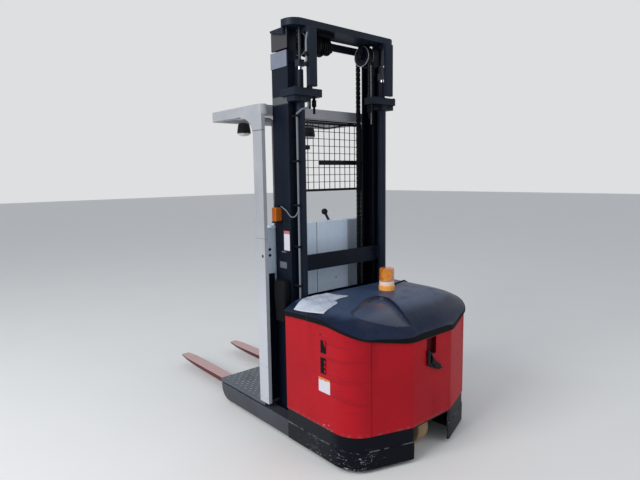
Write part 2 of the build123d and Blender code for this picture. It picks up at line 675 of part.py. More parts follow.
# Chain sheaves with their hangers, and the hose pulley beside the left one
sheave_half = CHAIN_HALF_W + 1
save(
    "chain_sheaves",
    *both(sheave(SHEAVE_X, SHEAVE_Y, SHEAVE_Z, SHEAVE_R, sheave_half, SHEAVE_PIN_R + RUNNING)),
)
save(
    "sheave_hangers",
    *both(hanger(SHEAVE_X, SHEAVE_Y, SHEAVE_Z, 22, sheave_half + 7, 10, 24, SHEAVE_PIN_R)),
)
PULLEY_X = SHEAVE_X - 13
PULLEY_Y = SHEAVE_Y - 110
PULLEY_Z = SHEAVE_Z - 4
PULLEY_HALF = 18
pulley = sheave(PULLEY_X, PULLEY_Y, PULLEY_Z, 44, PULLEY_HALF, 9)
pulley += hanger(PULLEY_X, PULLEY_Y, PULLEY_Z, 14, PULLEY_HALF + 5, 8, 22, 10)
save("hose_pulley", pulley)


def chain_run(x, z0, z1):
    """A leaf chain along Z: its side narrows at the joint between two pairs of links."""
    pairs = max(1, round((z1 - z0) / LINK_PAIR))
    step = (z1 - z0) / pairs
    edge = []
    for k in range(pairs):
        edge.append((CHAIN_WAIST, z0 + k * step))
        edge.append((CHAIN_HALF_T, z0 + (k + 0.5) * step))
    edge.append((CHAIN_WAIST, z1))
    points = [(x + half, z) for half, z in edge] + [(x - half, z) for half, z in reversed(edge)]
    return side_cut(points, SHEAVE_Y - CHAIN_HALF_W, SHEAVE_Y + CHAIN_HALF_W)


# Leaf chains: rear runs to the collar anchors, front runs to the carriage, bends on the sheaves
CHAIN_SEAT = 430
rear_run = chain_run(SHEAVE_X - SHEAVE_R, ANCHOR_TOP, SHEAVE_Z)
front_run = chain_run(SHEAVE_X + SHEAVE_R, CHAIN_SEAT, SHEAVE_Z)
chain_low = SHEAVE_Y - CHAIN_HALF_W
chain_high = SHEAVE_Y + CHAIN_HALF_W
bend = across(SHEAVE_X, chain_low, chain_high, SHEAVE_Z, SHEAVE_R + CHAIN_HALF_T)
bend -= across(SHEAVE_X, chain_low - 20, chain_high + 20, SHEAVE_Z, SHEAVE_R - CHAIN_HALF_T)
bend &= block(SHEAVE_X - 200, SHEAVE_X + 200, chain_low, chain_high, SHEAVE_Z, SHEAVE_Z + 200)
save("chain_rear_runs", *both(rear_run))
save("chain_front_runs", *both(front_run))
save("chain_bends", *both(bend))

# Carriage: arms with rollers inside the inner mast, and the back plate that carries the cab
ARM_IN = INNER_IN - 39
ARM_OUT = INNER_IN - 15
arm = block(ROLLER_X - 19.5, CAB_REAR, ARM_IN, ARM_OUT, 105, BACK_TOP - 20)
arm += block(ROLLER_X + 0.5, CAB_REAR, SHEAVE_Y - 25, ARM_IN, CHAIN_SEAT - 50, CHAIN_SEAT)
ROLLER_HEIGHTS = (165, 480)
roller_in = INNER_IN - 1
roller_out = INNER_OUT - WEB - 10
rollers = []
for z in ROLLER_HEIGHTS:
    arm += across(ROLLER_X, ARM_OUT, roller_in, z, 14)
    rollers += both(across(ROLLER_X, roller_in, roller_out, z, ROLLER_R))
arms = both(arm)
BACK_HALF = INNER_IN - 5
back = block(CAB_REAR, CAB_REAR + BACK_T, -BACK_HALF, BACK_HALF, 100, BACK_TOP)
save("carriage_frame", arms[0] + back + arms[1])
save("carriage_rollers", *rollers)

# Deck: a frame plate with a raised chequered plate that ends in front of the posts
deck = block(CONSOLE_REAR, CAB_FRONT, -CAB_HALF, CAB_HALF, DECK_LOW, DECK_FRAME)
deck += block(CONSOLE_REAR, CONSOLE_REAR + 23, -BACK_HALF, BACK_HALF, 100, DECK_LOW)
deck += block(POST_FRONT + 5, CAB_FRONT - 6, 6 - CAB_HALF, CAB_HALF - 6, DECK_FRAME, DECK_HIGH)
save("deck", deck)

# Bar under the deck's front edge that carries the forks, and its two beams
BEAM_Y = 285
fork_bar = block(FORK_BAR_REAR, FORK_HEEL, -FORK_BAR_HALF, FORK_BAR_HALF, 48, DECK_LOW)
for one in both(block(CONSOLE_REAR + 23, FORK_BAR_REAR, BEAM_Y - 15, BEAM_Y + 15, 100, DECK_LOW)):
    fork_bar += one
save("fork_bar", fork_bar)

for side_name, y in FORKS.items():
    half = FORK_W / 2
    profile = [
        (FORK_HEEL, FORK_TOP - 36),
        (FORK_HEEL + 35, FORK_TOP - 38),
        (FORK_TIP - 324, FORK_TOP - 30),
        (FORK_TIP, FORK_TOP - 10),
        (FORK_TIP, FORK_TOP),
        (FORK_HEEL + 32, FORK_TOP),
        (FORK_HEEL + 32, DECK_LOW - 2),
        (FORK_HEEL, DECK_LOW - 2),
    ]
    fork = side_cut(profile, y - half, y + half)
    taper = [
        (FORK_HEEL - 30, y - half),
        (FORK_HEEL - 30, y + half),
        (FORK_TIP - 134, y + half),
        (FORK_TIP - 12, y + half - 14),
        (FORK_TIP, y + half - 26),
        (FORK_TIP, y - half + 26),
        (FORK_TIP - 12, y - half + 14),
        (FORK_TIP - 134, y - half),
    ]
    save(f"fork_{side_name}", fork & plan_cut(taper, 0, DECK_LOW + 100))

# Cab posts with curved gussets under the roof, and a gate hole in each
GUSSET_LOW = ROOF_LOW - 116
gusset_nose = (POST_FRONT + 135, 0, ROOF_LOW - 10)
gusset = TangentArc((POST_FRONT, 0, GUSSET_LOW), gusset_nose, tangent=(0.18, 0, 1))
post_outline = Wire(
    [
        Line((POST_REAR, 0, DECK_FRAME), (POST_FRONT, 0, DECK_FRAME)),
        Line((POST_FRONT, 0, DECK_FRAME), (POST_FRONT, 0, GUSSET_LOW)),
        gusset,
        Line(gusset_nose, (POST_FRONT + 135, 0, ROOF_LOW)),
        Line((POST_FRONT + 135, 0, ROOF_LOW), (POST_REAR, 0, ROOF_LOW)),
        Line((POST_REAR, 0, ROOF_LOW), (POST_REAR, 0, DECK_FRAME)),
    ]
)
post = plate_along_y(post_outline, POST_IN, CAB_HALF)
post -= across(GATE_HOLE_X, POST_IN - 10, CAB_HALF + 10, GATE_HOLE_Z, GATE_HOLE_R)
save("cab_posts", *both(post))


def flat_frame(x0, x1, half, radius):
    """A rectangle in plan with rounded corners."""
    face = make_face(Polyline((x0, -half), (x0, half), (x1, half), (x1, -half), close=True))
    return fillet(face.vertices(), radius)


# Overhead guard: a ring of beams, notched for the mast, with bars along the truck
roof = flat_frame(ROOF_REAR, ROOF_FRONT, CAB_HALF, 40)
window = flat_frame(POST_FRONT - 5, ROOF_FRONT - 58, CAB_HALF - BEAM_W, 30)
guard = Pos(0, 0, ROOF_LOW) * extrude(roof - window, amount=ROOF_HIGH - ROOF_LOW, dir=(0, 0, 1))
notch = COLLAR_OUT + 43
guard -= block(ROOF_REAR - 20, CAB_REAR, -notch, notch, ROOF_LOW - 50, ROOF_HIGH + 50)
GUARD_BARS = 7
bar_pitch = (2 * CAB_HALF - 2 * BEAM_W) / (GUARD_BARS + 1.2)
for k in range(GUARD_BARS):
    y = bar_pitch * (k - (GUARD_BARS - 1) / 2)
    guard += block(POST_FRONT - 10, ROOF_FRONT - 53, y - 6, y + 6, ROOF_HIGH - 46, ROOF_HIGH - 4)
save("overhead_guard", guard)

# Work lamps under the front beam
LAMP_PLACE = Pos(ROOF_FRONT - 48, CAB_HALF - 236, ROOF_LOW - 56) * Rot(0, 80, 0)
lamp_x = ROOF_FRONT - 48
lamp_y = CAB_HALF - 236
housing = LAMP_PLACE * Cylinder(52, 34)
dome = LAMP_PLACE * Pos(0, 0, -17) * Sphere(50)
housing += dome & block(lamp_x - 60, lamp_x, lamp_y - 110, lamp_y + 90, ROOF_LOW - 156, ROOF_LOW + 44)
housing += block(lamp_x - 12, lamp_x + 4, lamp_y - 10, lamp_y + 10, ROOF_LOW - 16, ROOF_LOW)
save("work_lamp_housings", *both(housing))
save("work_lamp_lenses", *both(LAMP_PLACE * Pos(0, 0, 19) * Cylinder(46, 4)))

# Rear guard of the cab: bent tubes with a wire panel between them
GUARD_X = CONSOLE_REAR + 14
tube_path = [(GUARD_X, POST_IN, HOOP_TOP), (GUARD_X, HOOP_Y, HOOP_TOP), (GUARD_X, HOOP_Y, CONSOLE_TOP)]
hoops = both(tube(tube_path, HOOP_R, 45))
MESH = 50
MESH_BAR = 4
MESH_ROWS = 9
mesh_columns = int(2 * HOOP_Y / MESH) - 1
mesh_half = HOOP_Y - 8
panel = Rectangle(2 * mesh_half, MESH * MESH_ROWS + 30)
panel -= GridLocations(MESH, MESH, mesh_columns, MESH_ROWS) * Rectangle(MESH - MESH_BAR, MESH - MESH_BAR)
panel_middle = (GUARD_X - MESH_BAR / 2, 0, ROOF_LOW - 256)
panel = Plane(origin=panel_middle, x_dir=(0, 1, 0), z_dir=(1, 0, 0)) * panel
save("rear_guard", hoops[0] + hoops[1] + extrude(panel, amount=MESH_BAR, dir=(1, 0, 0)))


# Console, a closed sheet-metal box, with a narrow box at its left end
def console_outline(inset):
    """(x, z) points of the console's side, moved inward by inset."""
    slope_low = CONSOLE_TOP - SLOPE_DROP
    return [
        (CONSOLE_REAR + inset, CONSOLE_LOW + inset),
        (CONSOLE_REAR + inset, CONSOLE_TOP - inset),
        (SLOPE_REAR - inset / 3, CONSOLE_TOP - inset),
        (SLOPE_FRONT - inset, slope_low - inset * 2 / 3),
        (SLOPE_FRONT - inset, slope_low - 260 + inset / 3),
        (SLOPE_FRONT - 80 - inset * 2 / 3, CONSOLE_LOW + inset),
    ]


dial = Plane(origin=DIAL_SPOT, x_dir=(0, 1, 0), z_dir=DIAL_NORMAL)
console = side_cut(console_outline(0), -CONSOLE_HALF, CONSOLE_HALF)
inner_half = CONSOLE_HALF - CONSOLE_WALL
console -= side_cut(console_outline(CONSOLE_WALL), -inner_half, inner_half)
console -= dial * Cylinder(SHAFT_R + RUNNING, 40)
END_BOX_IN = CONSOLE_HALF + 10
END_BOX_OUT = CONSOLE_HALF + 70
end_box = block(CONSOLE_REAR, CONSOLE_REAR + 78, END_BOX_IN, END_BOX_OUT, END_BOX_LOW, END_BOX_HIGH)
end_box += block(CONSOLE_REAR, CONSOLE_REAR + 60, CONSOLE_HALF, END_BOX_IN, END_BOX_LOW, END_BOX_HIGH)
save("console", console + end_box)

# Back panel below the console, with a column under the end box
column = block(CONSOLE_REAR, CONSOLE_REAR + 48, END_BOX_IN, END_BOX_OUT, DECK_FRAME, END_BOX_LOW)
knee = block(CONSOLE_REAR, CONSOLE_REAR + 12, 2 - POST_IN, POST_IN - 2, DECK_FRAME, CONSOLE_LOW)
save("cab_back_panel", knee + column)

# Hand wheel on the slope, a lever beside it and two knobs on the end box
WHEEL_RISE = 60
WHEEL_R = 95
hand_wheel = dial * Pos(0, 0, WHEEL_RISE) * Torus(WHEEL_R, 10)
for spoke in (Box(2 * WHEEL_R - 14, 16, 8), Box(16, 2 * WHEEL_R - 14, 8)):
    hand_wheel += dial * Pos(0, 0, WHEEL_RISE) * spoke
hand_wheel += dial * Pos(0, 0, WHEEL_RISE / 2 - 14) * Cylinder(SHAFT_R, WHEEL_RISE + 32)
save("steering_wheel", hand_wheel)
LEVER_SPOT = -330
lever = dial * Pos(LEVER_SPOT, 0, 10 + SEAT) * Cylinder(30, 20)
lever += dial * Pos(LEVER_SPOT, 0, 60) * Cylinder(10, 90)
lever += dial * Pos(LEVER_SPOT, 0, 112) * Sphere(24)
knobs = [across(CONSOLE_REAR + 28, END_BOX_OUT, END_BOX_OUT + 12, z, 9) for z in (1110, 1150)]
save("cab_controls", lever, *knobs)

# Amber signal lamps on the mast sides
signal = block(LAMP_X - LAMP_HALF, LAMP_X + LAMP_HALF, MAST_HALF, MAST_HALF + 49, LAMP_LOW, LAMP_HIGH)
signal = fillet(signal.edges().filter_by(Axis.Y), 10)
save("signal_lamps", *both(signal))

# Beacon on the hood, on a round foot that rests on the crown
BEACON_X = 512
BEACON_Y = -166
FOOT = HOOD_TOP - 2
save("beacon_base", upright(BEACON_X, BEACON_Y, FOOT, FOOT + 52, 53))
lens = upright(BEACON_X, BEACON_Y, FOOT + 52, FOOT + 150, 46)
lens = fillet(lens.edges().group_by(Axis.Z)[-1], 18)
save("beacon_lens", lens)

# Hose beside the left cylinder, from the mast foot into the collar
HOSE_X = CYL_X - 16
HOSE_Y = CYL_Y + 43
hose_path = [
    (HOSE_X, HOSE_Y, FOOT_TOP),
    (HOSE_X, HOSE_Y, CLAMP_LOW - 75),
    (HOSE_X - 26, HOSE_Y - 19, CLAMP_LOW - 49),
    (HOSE_X - 26, HOSE_Y - 67, CLAMP_LOW - 37),
    (HOSE_X - 14, HOSE_Y - 81, CLAMP_LOW - 21),
    (HOSE_X - 14, HOSE_Y - 81, CLAMP_LOW),
]
save("mast_hose", tube(hose_path, 6, 6))

print(len(WRITTEN), "nodes")
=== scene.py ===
# %% [markdown]
# # An electric order-picking forklift
# The truck's measured model comes from CAD as a fixed frame: every piece already sits in its place, in
# metres, with +X forward and +Z up. This notebook gives each piece its finish and adds what CAD leaves
# out: rounded edges, chain plates, deck lugs, hoses, clips, bolts and wear. It starts by loading the frame.

# %% Load the frame
import json
import math

import bmesh
import bpy
import numpy as np
from mathutils import Matrix, Vector


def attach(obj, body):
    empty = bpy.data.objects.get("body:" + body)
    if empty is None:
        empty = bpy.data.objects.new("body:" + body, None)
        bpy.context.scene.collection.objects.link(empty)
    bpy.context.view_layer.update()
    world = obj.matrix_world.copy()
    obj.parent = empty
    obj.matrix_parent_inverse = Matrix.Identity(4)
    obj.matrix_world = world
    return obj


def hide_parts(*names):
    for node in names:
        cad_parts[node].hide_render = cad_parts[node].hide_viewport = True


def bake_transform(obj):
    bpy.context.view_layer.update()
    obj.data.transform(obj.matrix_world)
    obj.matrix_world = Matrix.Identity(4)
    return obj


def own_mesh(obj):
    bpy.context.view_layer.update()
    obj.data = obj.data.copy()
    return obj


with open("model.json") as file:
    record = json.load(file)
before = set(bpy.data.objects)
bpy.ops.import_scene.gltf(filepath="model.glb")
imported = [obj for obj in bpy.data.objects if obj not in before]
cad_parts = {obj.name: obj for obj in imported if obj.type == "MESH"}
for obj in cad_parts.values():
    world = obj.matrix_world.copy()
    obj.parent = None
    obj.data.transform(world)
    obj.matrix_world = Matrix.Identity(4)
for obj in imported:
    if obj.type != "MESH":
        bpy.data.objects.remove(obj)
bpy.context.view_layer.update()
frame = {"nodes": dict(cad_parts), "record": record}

REAR = 1.205


def shown(name, data):
    """A new object with its data, linked to the scene."""
    made = bpy.data.objects.new(name, data)
    bpy.context.scene.collection.objects.link(made)
    return made

# %% [markdown]
# ## Camera
# The photographer stood behind the truck's left rear corner, a little above the hood. The camera is set
# from its place and three angles. Its axes are worked out from those angles and written as a matrix,
# which is easier to check than a chain of Euler turns.

# %% Camera
CAMERA_PLACE = (-2.987, 2.405, 1.669)
YAW, PITCH, ROLL = (math.radians(a) for a in (40.785, 7.141, 0.829))
LENS_MM = 28.884
up = np.array([0.0, 0.0, 1.0])
ahead = np.array([math.cos(YAW), -math.sin(YAW), 0.0])
side = np.array([ahead[1], -ahead[0], 0.0])
look = ahead * math.cos(PITCH) - up * math.sin(PITCH)
low = -(up * math.cos(PITCH) + ahead * math.sin(PITCH))
right = side * math.cos(ROLL) + low * math.sin(ROLL)
down = low * math.cos(ROLL) - side * math.sin(ROLL)
camera = shown("camera", bpy.data.cameras.new("camera"))
axes = Matrix((right, -down, -look)).transposed().to_4x4()
camera.matrix_world = Matrix.Translation(CAMERA_PLACE) @ axes
camera.data.lens = LENS_MM
camera.data.sensor_width = 36.0
bpy.context.scene.camera = camera
print("camera looks along", look.round(3))

# %% [markdown]
# ## Numbers that change over a surface
# A material is a tree of small nodes. Written node by node it is long and hard to read, so one class
# wraps a node's output and lets Python's own signs add the maths nodes. Anything that is not arithmetic
# goes through a single method that takes the node's type, its settings and its sockets.

# %% Signals
class Signal:
    """A value that varies over a surface: the output of a node in a material's tree."""

    def __init__(self, tree, socket=None):
        self.tree, self.socket = tree, socket

    def make(self, kind, settings=None, sockets=None, out=0):
        """Adds a node; its settings come first, then its sockets' values or links."""
        node = self.tree.nodes.new("ShaderNode" + kind)
        for key, value in (settings or {}).items():
            if key == "stops":
                ramp = node.color_ramp.elements
                while len(ramp) < len(value):
                    ramp.new(0.5)
                for stop, (place, colour) in zip(ramp, value):
                    stop.position, stop.color = place, colour
            else:
                setattr(node, key, value)
        for key, value in (sockets or {}).items():
            self.plug(node.inputs[key], value)
        return Signal(self.tree, node.outputs[out])

    def plug(self, socket, value):
        """Links a socket to a signal, or sets it to a plain value."""
        if isinstance(value, Signal):
            self.tree.links.new(value.socket, socket)
        else:
            socket.default_value = value

    def maths(self, operation, first, second=0.0):
        return self.make("Math", {"operation": operation}, {0: first, 1: second})

    def __add__(self, other):
        return self.maths("ADD", self, other)

    def __sub__(self, other):
        return self.maths("SUBTRACT", self, other)

    def __rsub__(self, other):
        return self.maths("SUBTRACT", other, self)

    def __mul__(self, other):
        return self.maths("MULTIPLY", self, other)

    def __abs__(self):
        return self.maths("ABSOLUTE", self)

    __radd__ = __add__
    __rmul__ = __mul__


def band(value, start, end):
    """0 before start, 1 after end, and a smooth step between them."""
    sockets = {"Value": value, "From Min": start, "From Max": end}
    settings = {"interpolation_type": "SMOOTHSTEP"}
    return value.make("MapRange", settings, sockets, "Result")


def mix(share, first, second):
    """The first colour where share is 0, the second where it is 1."""
    return share.make("Mix", {"data_type": "RGBA"}, {0: share, 6: first, 7: second}, 2)


def cloud(at, scale, detail=3.0, stretch=None):
    """Soft random patches from 0 to 1; stretch draws them out along an axis."""
    if stretch:
        at = at.make("Mapping", sockets={"Vector": at, "Scale": stretch})
    sockets = {"Vector": at, "Scale": scale, "Detail": detail}
    return at.make("TexNoise", sockets=sockets, out="Fac")


def scratches(at, scale, stretch, width):
    """Thin lines: where a stretched cloud crosses its middle value."""
    line = abs(cloud(at, scale, 2.0, stretch) - 0.5)
    return band(line, width, width * 0.3)


def paint(card):
    """A colour written as on a paint card, #rrggbb, in the linear numbers that the shader takes."""
    shares = np.array([int(card[k : k + 2], 16) for k in (1, 3, 5)]) / 255
    linear = np.where(shares <= 0.04045, shares / 12.92, ((shares + 0.055) / 1.055) ** 2.4)
    return (*linear.tolist(), 1.0)


print("signals ready")

# %% [markdown]
# ## Finishes
# Every finish starts from the same few layers that paint and metal really have: a base colour that fades
# in patches, dirt that runs or settles, scratches that show what is under the paint, and a fine
# unevenness that breaks up the gloss. One line for each finish gives its colours and how strong its layers
# are, and a finish with more to tell, such as the scuffed red panels, adds its own layers on top.

# %% Finish
class Finish:
    """A material in the making: its shader and the place on the object that its patterns follow."""

    def __init__(self, name):
        self.material = bpy.data.materials.new(name)
        self.material.use_nodes = True
        tree = self.material.node_tree
        self.shader = tree.nodes["Principled BSDF"]
        self.at = Signal(tree).make("TexCoord", out="Object")
        self.x, self.y, self.z = (self.at.make("SeparateXYZ", sockets={0: self.at}, out=k) for k in range(3))

    def facing_up(self, low=0.55, high=0.85):
        """1 on faces that look at the sky, 0 on upright and hanging ones."""
        normal = self.at.make("NewGeometry", out="Normal")
        height = self.at.make("SeparateXYZ", sockets={0: normal}, out=2)
        return band(height, low, high)

    def mark(self, name):
        """A number that the mesh itself carries at each of its points."""
        return self.at.make("Attribute", {"attribute_name": name}, out="Fac")

    def edges(self, radius):
        """1 along edges: where the normal of a rounded shape leaves the face's own normal."""
        soft = self.at.make("Bevel", {"samples": 4}, {"Radius": radius}, "Normal")
        hard = self.at.make("NewGeometry", out="Normal")
        dot = self.at.make("VectorMath", {"operation": "DOT_PRODUCT"}, {0: soft, 1: hard}, "Value")
        return band(1 - dot, 0.02, 0.25)

    def rubbed(self, radius, scale, low, high, share, card):
        """Lays a colour along the edges, where a cloud lets it show."""
        spots = band(cloud(self.at, scale, 4.0), low, high)
        self.layer(self.edges(radius) * spots * share, card)

    def near(self, place, reach):
        """1 at a place, 0 at reach metres and beyond."""
        gap = self.at.make("VectorMath", {"operation": "DISTANCE"}, {0: self.at, 1: place}, "Value")
        return band(gap, reach, reach * 0.15)

    def put(self, **sockets):
        """Sets the shader's sockets; an underscore in a name stands for a space."""
        for name, value in sockets.items():
            self.at.plug(self.shader.inputs[name.replace("_", " ")], value)

    def layer(self, share, card):
        """Lays a colour over the tone so far: none of it where share is 0, all of it where it is 1."""
        self.tone = mix(share, self.tone, paint(card))
        self.put(Base_Color=self.tone)

    def grain(self, scale, depth):
        """A fine unevenness of the surface, depth metres high."""
        sockets = {"Strength": 0.6, "Distance": depth, "Height": cloud(self.at, scale, 3.0)}
        self.put(Normal=self.at.make("Bump", sockets=sockets))


FINISHES = {}


def painted(name, cards, dirt_share, bare_share, gloss, metal=0.0, shine=0.35):
    """Four layers, with a paint card for each: colour, faded patches, running dirt, bare scratches."""
    finish = FINISHES[name] = Finish(name)
    at = finish.at
    colour, faded, dirt, bare = cards.split()
    patches = band(cloud(at, 2.2, 4.0), 0.38, 0.68)
    finish.tone = mix(patches, paint(colour), paint(faded))
    fine = band(cloud(at, 60.0, 4.0), 0.4, 0.8)
    finish.layer(fine * 0.12, dirt)
    runs = band(cloud(at, 8.0, 5.0, (1.0, 1.0, 0.2)), 0.52, 0.8)
    finish.layer(runs * dirt_share, dirt)
    nicks = scratches(at, 9.0, (1.0, 1.0, 5.0), 0.006) * band(cloud(at, 3.4), 0.56, 0.66)
    finish.layer(nicks * bare_share, bare)
    finish.put(Roughness=gloss + 0.18 * runs + 0.08 * fine, Metallic=metal, Specular_IOR_Level=shine)
    finish.grain(260.0, 0.0003)
    return finish


print("layers ready")

# %% [markdown]
# ## Red panels, hood and skirt
# The red panels are sprayed sheet metal, scuffed where they meet the world: along the left rear corner and
# along the lower edge. The skirt below them is the bumper, so its corner is covered with pale scratches and
# its ridge is rubbed bare. Masks made from a position and a cloud put each kind of wear in its own place.
# The hood's crown carries a painted sky reflection, its upward faces dust with a painted sheen, its pressed
# face a painted highlight and its crease a painted shadow. The skirt's rear left quarter has painted shade.

# %% Body paint
red = painted("red_paint", "#ad1622 #a21420 #62121b #741e26", 0.25, 0.25, 0.42, shine=0.1)
at = red.at
corner = band(red.y, 0.34, 0.47) * band(red.x, -0.78, -0.92) * band(red.x, -1.18, -1.1)
scuffs = band(cloud(at, 9.0, 3.0, (0.5, 0.5, 4.0)), 0.48, 0.68) * band(red.z, 0.3, 0.44)
red.layer(scuffs * corner * 0.4, "#74141e")
edge_wear = band(red.z, 0.244, 0.22) * band(cloud(at, 34.0, 4.0), 0.45, 0.6)
red.layer(edge_wear * 0.6, "#784a4c")
chips = band(cloud(at, 48.0), 0.56, 0.62) * red.near((-0.885, 0.555, 0.222), 0.05)
red.layer(chips, "#cec6c6")

hood = painted("hood_paint", "#0a1832 #0e1d38 #3c4252 #646c7a", 0.08, 0.08, 0.36, shine=0.14)
# Painted reflection: the crown, which faces the sky, is painted a lighter blue.
hood.layer(hood.facing_up(0.93, 0.995) * 0.5, "#4a5e7e")
# Dust and a painted sheen: the upward faces are made paler in patches.
dust_and_sheen = band(cloud(hood.at, 4.0, 5.0), 0.42, 0.72) * hood.facing_up()
hood.layer(dust_and_sheen * 0.1, "#706e70")
# Painted highlight on the pressed leaf face and painted shadow along its crease, read from the mesh's marks.
hood.layer(hood.mark("leaf_face") * 0.45, "#545a6a")
hood.layer(hood.mark("leaf_crease") * 0.6, "#080f1f")
spot = hood.near((-0.865, 0.12, 0.872), 0.08) * band(cloud(hood.at, 18.0), 0.3, 0.6)
hood.layer(spot * 0.4, "#7c5c50")

skirt = painted("skirt_steel", "#202227 #1a1c22 #303032 #787c84", 0.3, 0.3, 0.46, shine=0.1)
# Painted shade: the skirt's rear left quarter, turned from the light, is painted almost black.
corner = band(skirt.y, 0.0, 0.1) * band(skirt.x, -0.88, -0.98)
skirt.layer(corner * 0.9, "#030612")
skirt.rubbed(0.007, 16.0, 0.47, 0.6, 0.6, "#8e9298")
corner = band(skirt.y, 0.3, 0.48) * band(skirt.x, -0.62, -0.8)
low = band(skirt.z, 0.16, 0.08)
knocks = scratches(skirt.at, 22.0, (0.6, 0.6, 3.0), 0.01) * band(cloud(skirt.at, 8.0), 0.52, 0.6)
flakes = band(cloud(skirt.at, 62.0, 3.0, (0.7, 0.7, 1.6)), 0.66, 0.7)
skirt.layer((knocks + flakes) * corner * low * 0.8, "#9ea4ac")
ridge = band(abs(skirt.z - 0.1285), 0.004, 0.001) * band(cloud(skirt.at, 5.0, 4.0), 0.4, 0.56)
ridge = ridge * band(skirt.x, -1.06, -0.96)
skirt.layer(ridge * 0.55, "#787c84")
print(len(FINISHES), "body finishes")

# %% [markdown]
# ## Mast, cab and deck paint
# The mast is almost black with a blue cast, and pale bands run across its flanks near the top. The cab is
# pale grey and shows its dirt. The seams between the console's sheets and the joints across the cab's posts
# are thin dark lines in the paint, because a real gap of one millimetre would cost faces and show no more.
# The cab's paint is lighter low down and darker higher up: painted shade on its upper posts.

# %% Mast and cab paint
mast = painted("mast_paint", "#09111f #0e1726 #262526 #50545e", 0.18, 0.2, 0.4, shine=0.12)
mast.rubbed(0.004, 12.0, 0.52, 0.64, 0.4, "#606670")
# A pale grey band across the mast's outer flanks, from 2.11 to 2.16 m up.
flank = band(abs(mast.y), 0.4365, 0.4369)
pale = band(mast.z, 2.108, 2.118) * band(mast.z, 2.164, 2.154) * flank
mast.layer(pale * 0.62, "#686c6e")
rail = painted("inner_mast_paint", "#060b16 #0a0f1b #1e1d1e #464850", 0.18, 0.15, 0.38, shine=0.12)
# The inner stage's outer flanks are brownish grey above 2.44 m.
flank = band(abs(rail.y), 0.4365, 0.4369) * band(rail.z, 2.44, 2.442)
rail.layer(flank * 0.8, "#48464a")
painted("head_plate_paint", "#747a8a #6c7282 #424246 #96989c", 0.25, 0.3, 0.45)
painted("slate_paint", "#121b29 #172130 #1a1a1e #686c76", 0.25, 0.25, 0.42, shine=0.14)
guard = painted("guard_steel", "#10141c #161a22 #2e2c2c #606268", 0.2, 0.2, 0.45, shine=0.2)
guard.layer(band(abs(guard.y), 0.400, 0.402), "#96989e")
cab = painted("cab_paint", "#a4a6ab #9a9da3 #706a66 #605e62", 0.26, 0.3, 0.4)
# Painted shade: the cab's paint is lighter below 1.3 m and darker on the upper posts, under the guard.
cab.layer(band(cab.z, 1.3, 0.75) * 0.45, "#d0d4de")
cab.rubbed(0.005, 22.0, 0.52, 0.62, 0.5, "#686260")
joint = band(abs(cab.z - 1.272), 0.0016, 0.0008) + band(abs(cab.z - 1.958), 0.0034, 0.002)
joint = joint * band(abs(cab.y), 0.5, 0.51)
cab.layer(joint * 0.8, "#3c3e44")
desk = painted("console_paint", "#deeeff #d4e6fa #848a96 #60646e", 0.16, 0.2, 0.42)
desk.layer(band(desk.y, -0.236, -0.24) * 0.75, "#b0baca")
seam = band(abs(desk.y - 0.067), 0.0038, 0.002) + band(abs(desk.y + 0.238), 0.003, 0.0015)
seam = seam * band(desk.x, -0.24, -0.242)
desk.layer(seam * 0.85, "#303642")
painted("deck_plate", "#4c515a #585d66 #383634 #96989c", 0.35, 0.4, 0.46, 0.2)
painted("lug_steel", "#8c929c #7e848e #464442 #b8bcc2", 0.3, 0.3, 0.4, 0.3)
leg = painted("leg_steel", "#34373f #3e4149 #504c48 #a0a2a4", 0.3, 0.4, 0.45)
leg.rubbed(0.006, 18.0, 0.42, 0.58, 0.6, "#96989a")
fork = painted("fork_paint", "#5c1a21 #50181e #301e20 #a09696", 0.35, 0.4, 0.42)
worn = fork.facing_up() * band(cloud(fork.at, 6.0, 5.0, (0.3, 1.0, 1.0)), 0.2, 0.4)
fork.layer(worn, "#be9c9a")
print(len(FINISHES), "painted finishes")

# %% [markdown]
# ## Bare metal, plastic, rubber and glass
# These take the same layers with other numbers. Two depend on height: a lift rod is polished only where it
# slides, and its head block above is dark, so one material changes both its colour and its metal there.

# %% Other finishes
painted("bare_steel", "#7a7c80 #6a6c71 #3e3832 #b4b6b8", 0.4, 0.4, 0.34, 0.85)
painted("chain_steel", "#2e2f32 #242528 #161414 #606062", 0.4, 0.3, 0.38, 0.7)
painted("sheave_rim", "#9ea3aa #8c9198 #3c3a3a #babcc0", 0.3, 0.3, 0.3, 0.4)
rod = painted("rod_steel", "#bec2c8 #b4b8bf #787064 #dcdee2", 0.1, 0.2, 0.14)
above = band(rod.z, 2.330, 2.3305)
rod.layer(above, "#282f3a")
rod.put(Metallic=1 - above, Roughness=0.14 + 0.28 * above)
painted("tan_tyre", "#9e8662 #927a5a #484036 #685c4a", 0.4, 0.3, 0.6)
painted("wheel_core", "#2c2c30 #363536 #4e463c #82807e", 0.35, 0.3, 0.5)
painted("dark_plastic", "#0d0e11 #131417 #2a2928 #3c3c3e", 0.18, 0.2, 0.5, shine=0.2)
painted("black_rubber", "#05070c #090b10 #222121 #323234", 0.2, 0.1, 0.66, shine=0.12)
latch = painted("latch_parts", "#08080b #0d0d10 #282424 #3c3c3e", 0.15, 0.2, 0.5, shine=0.15)
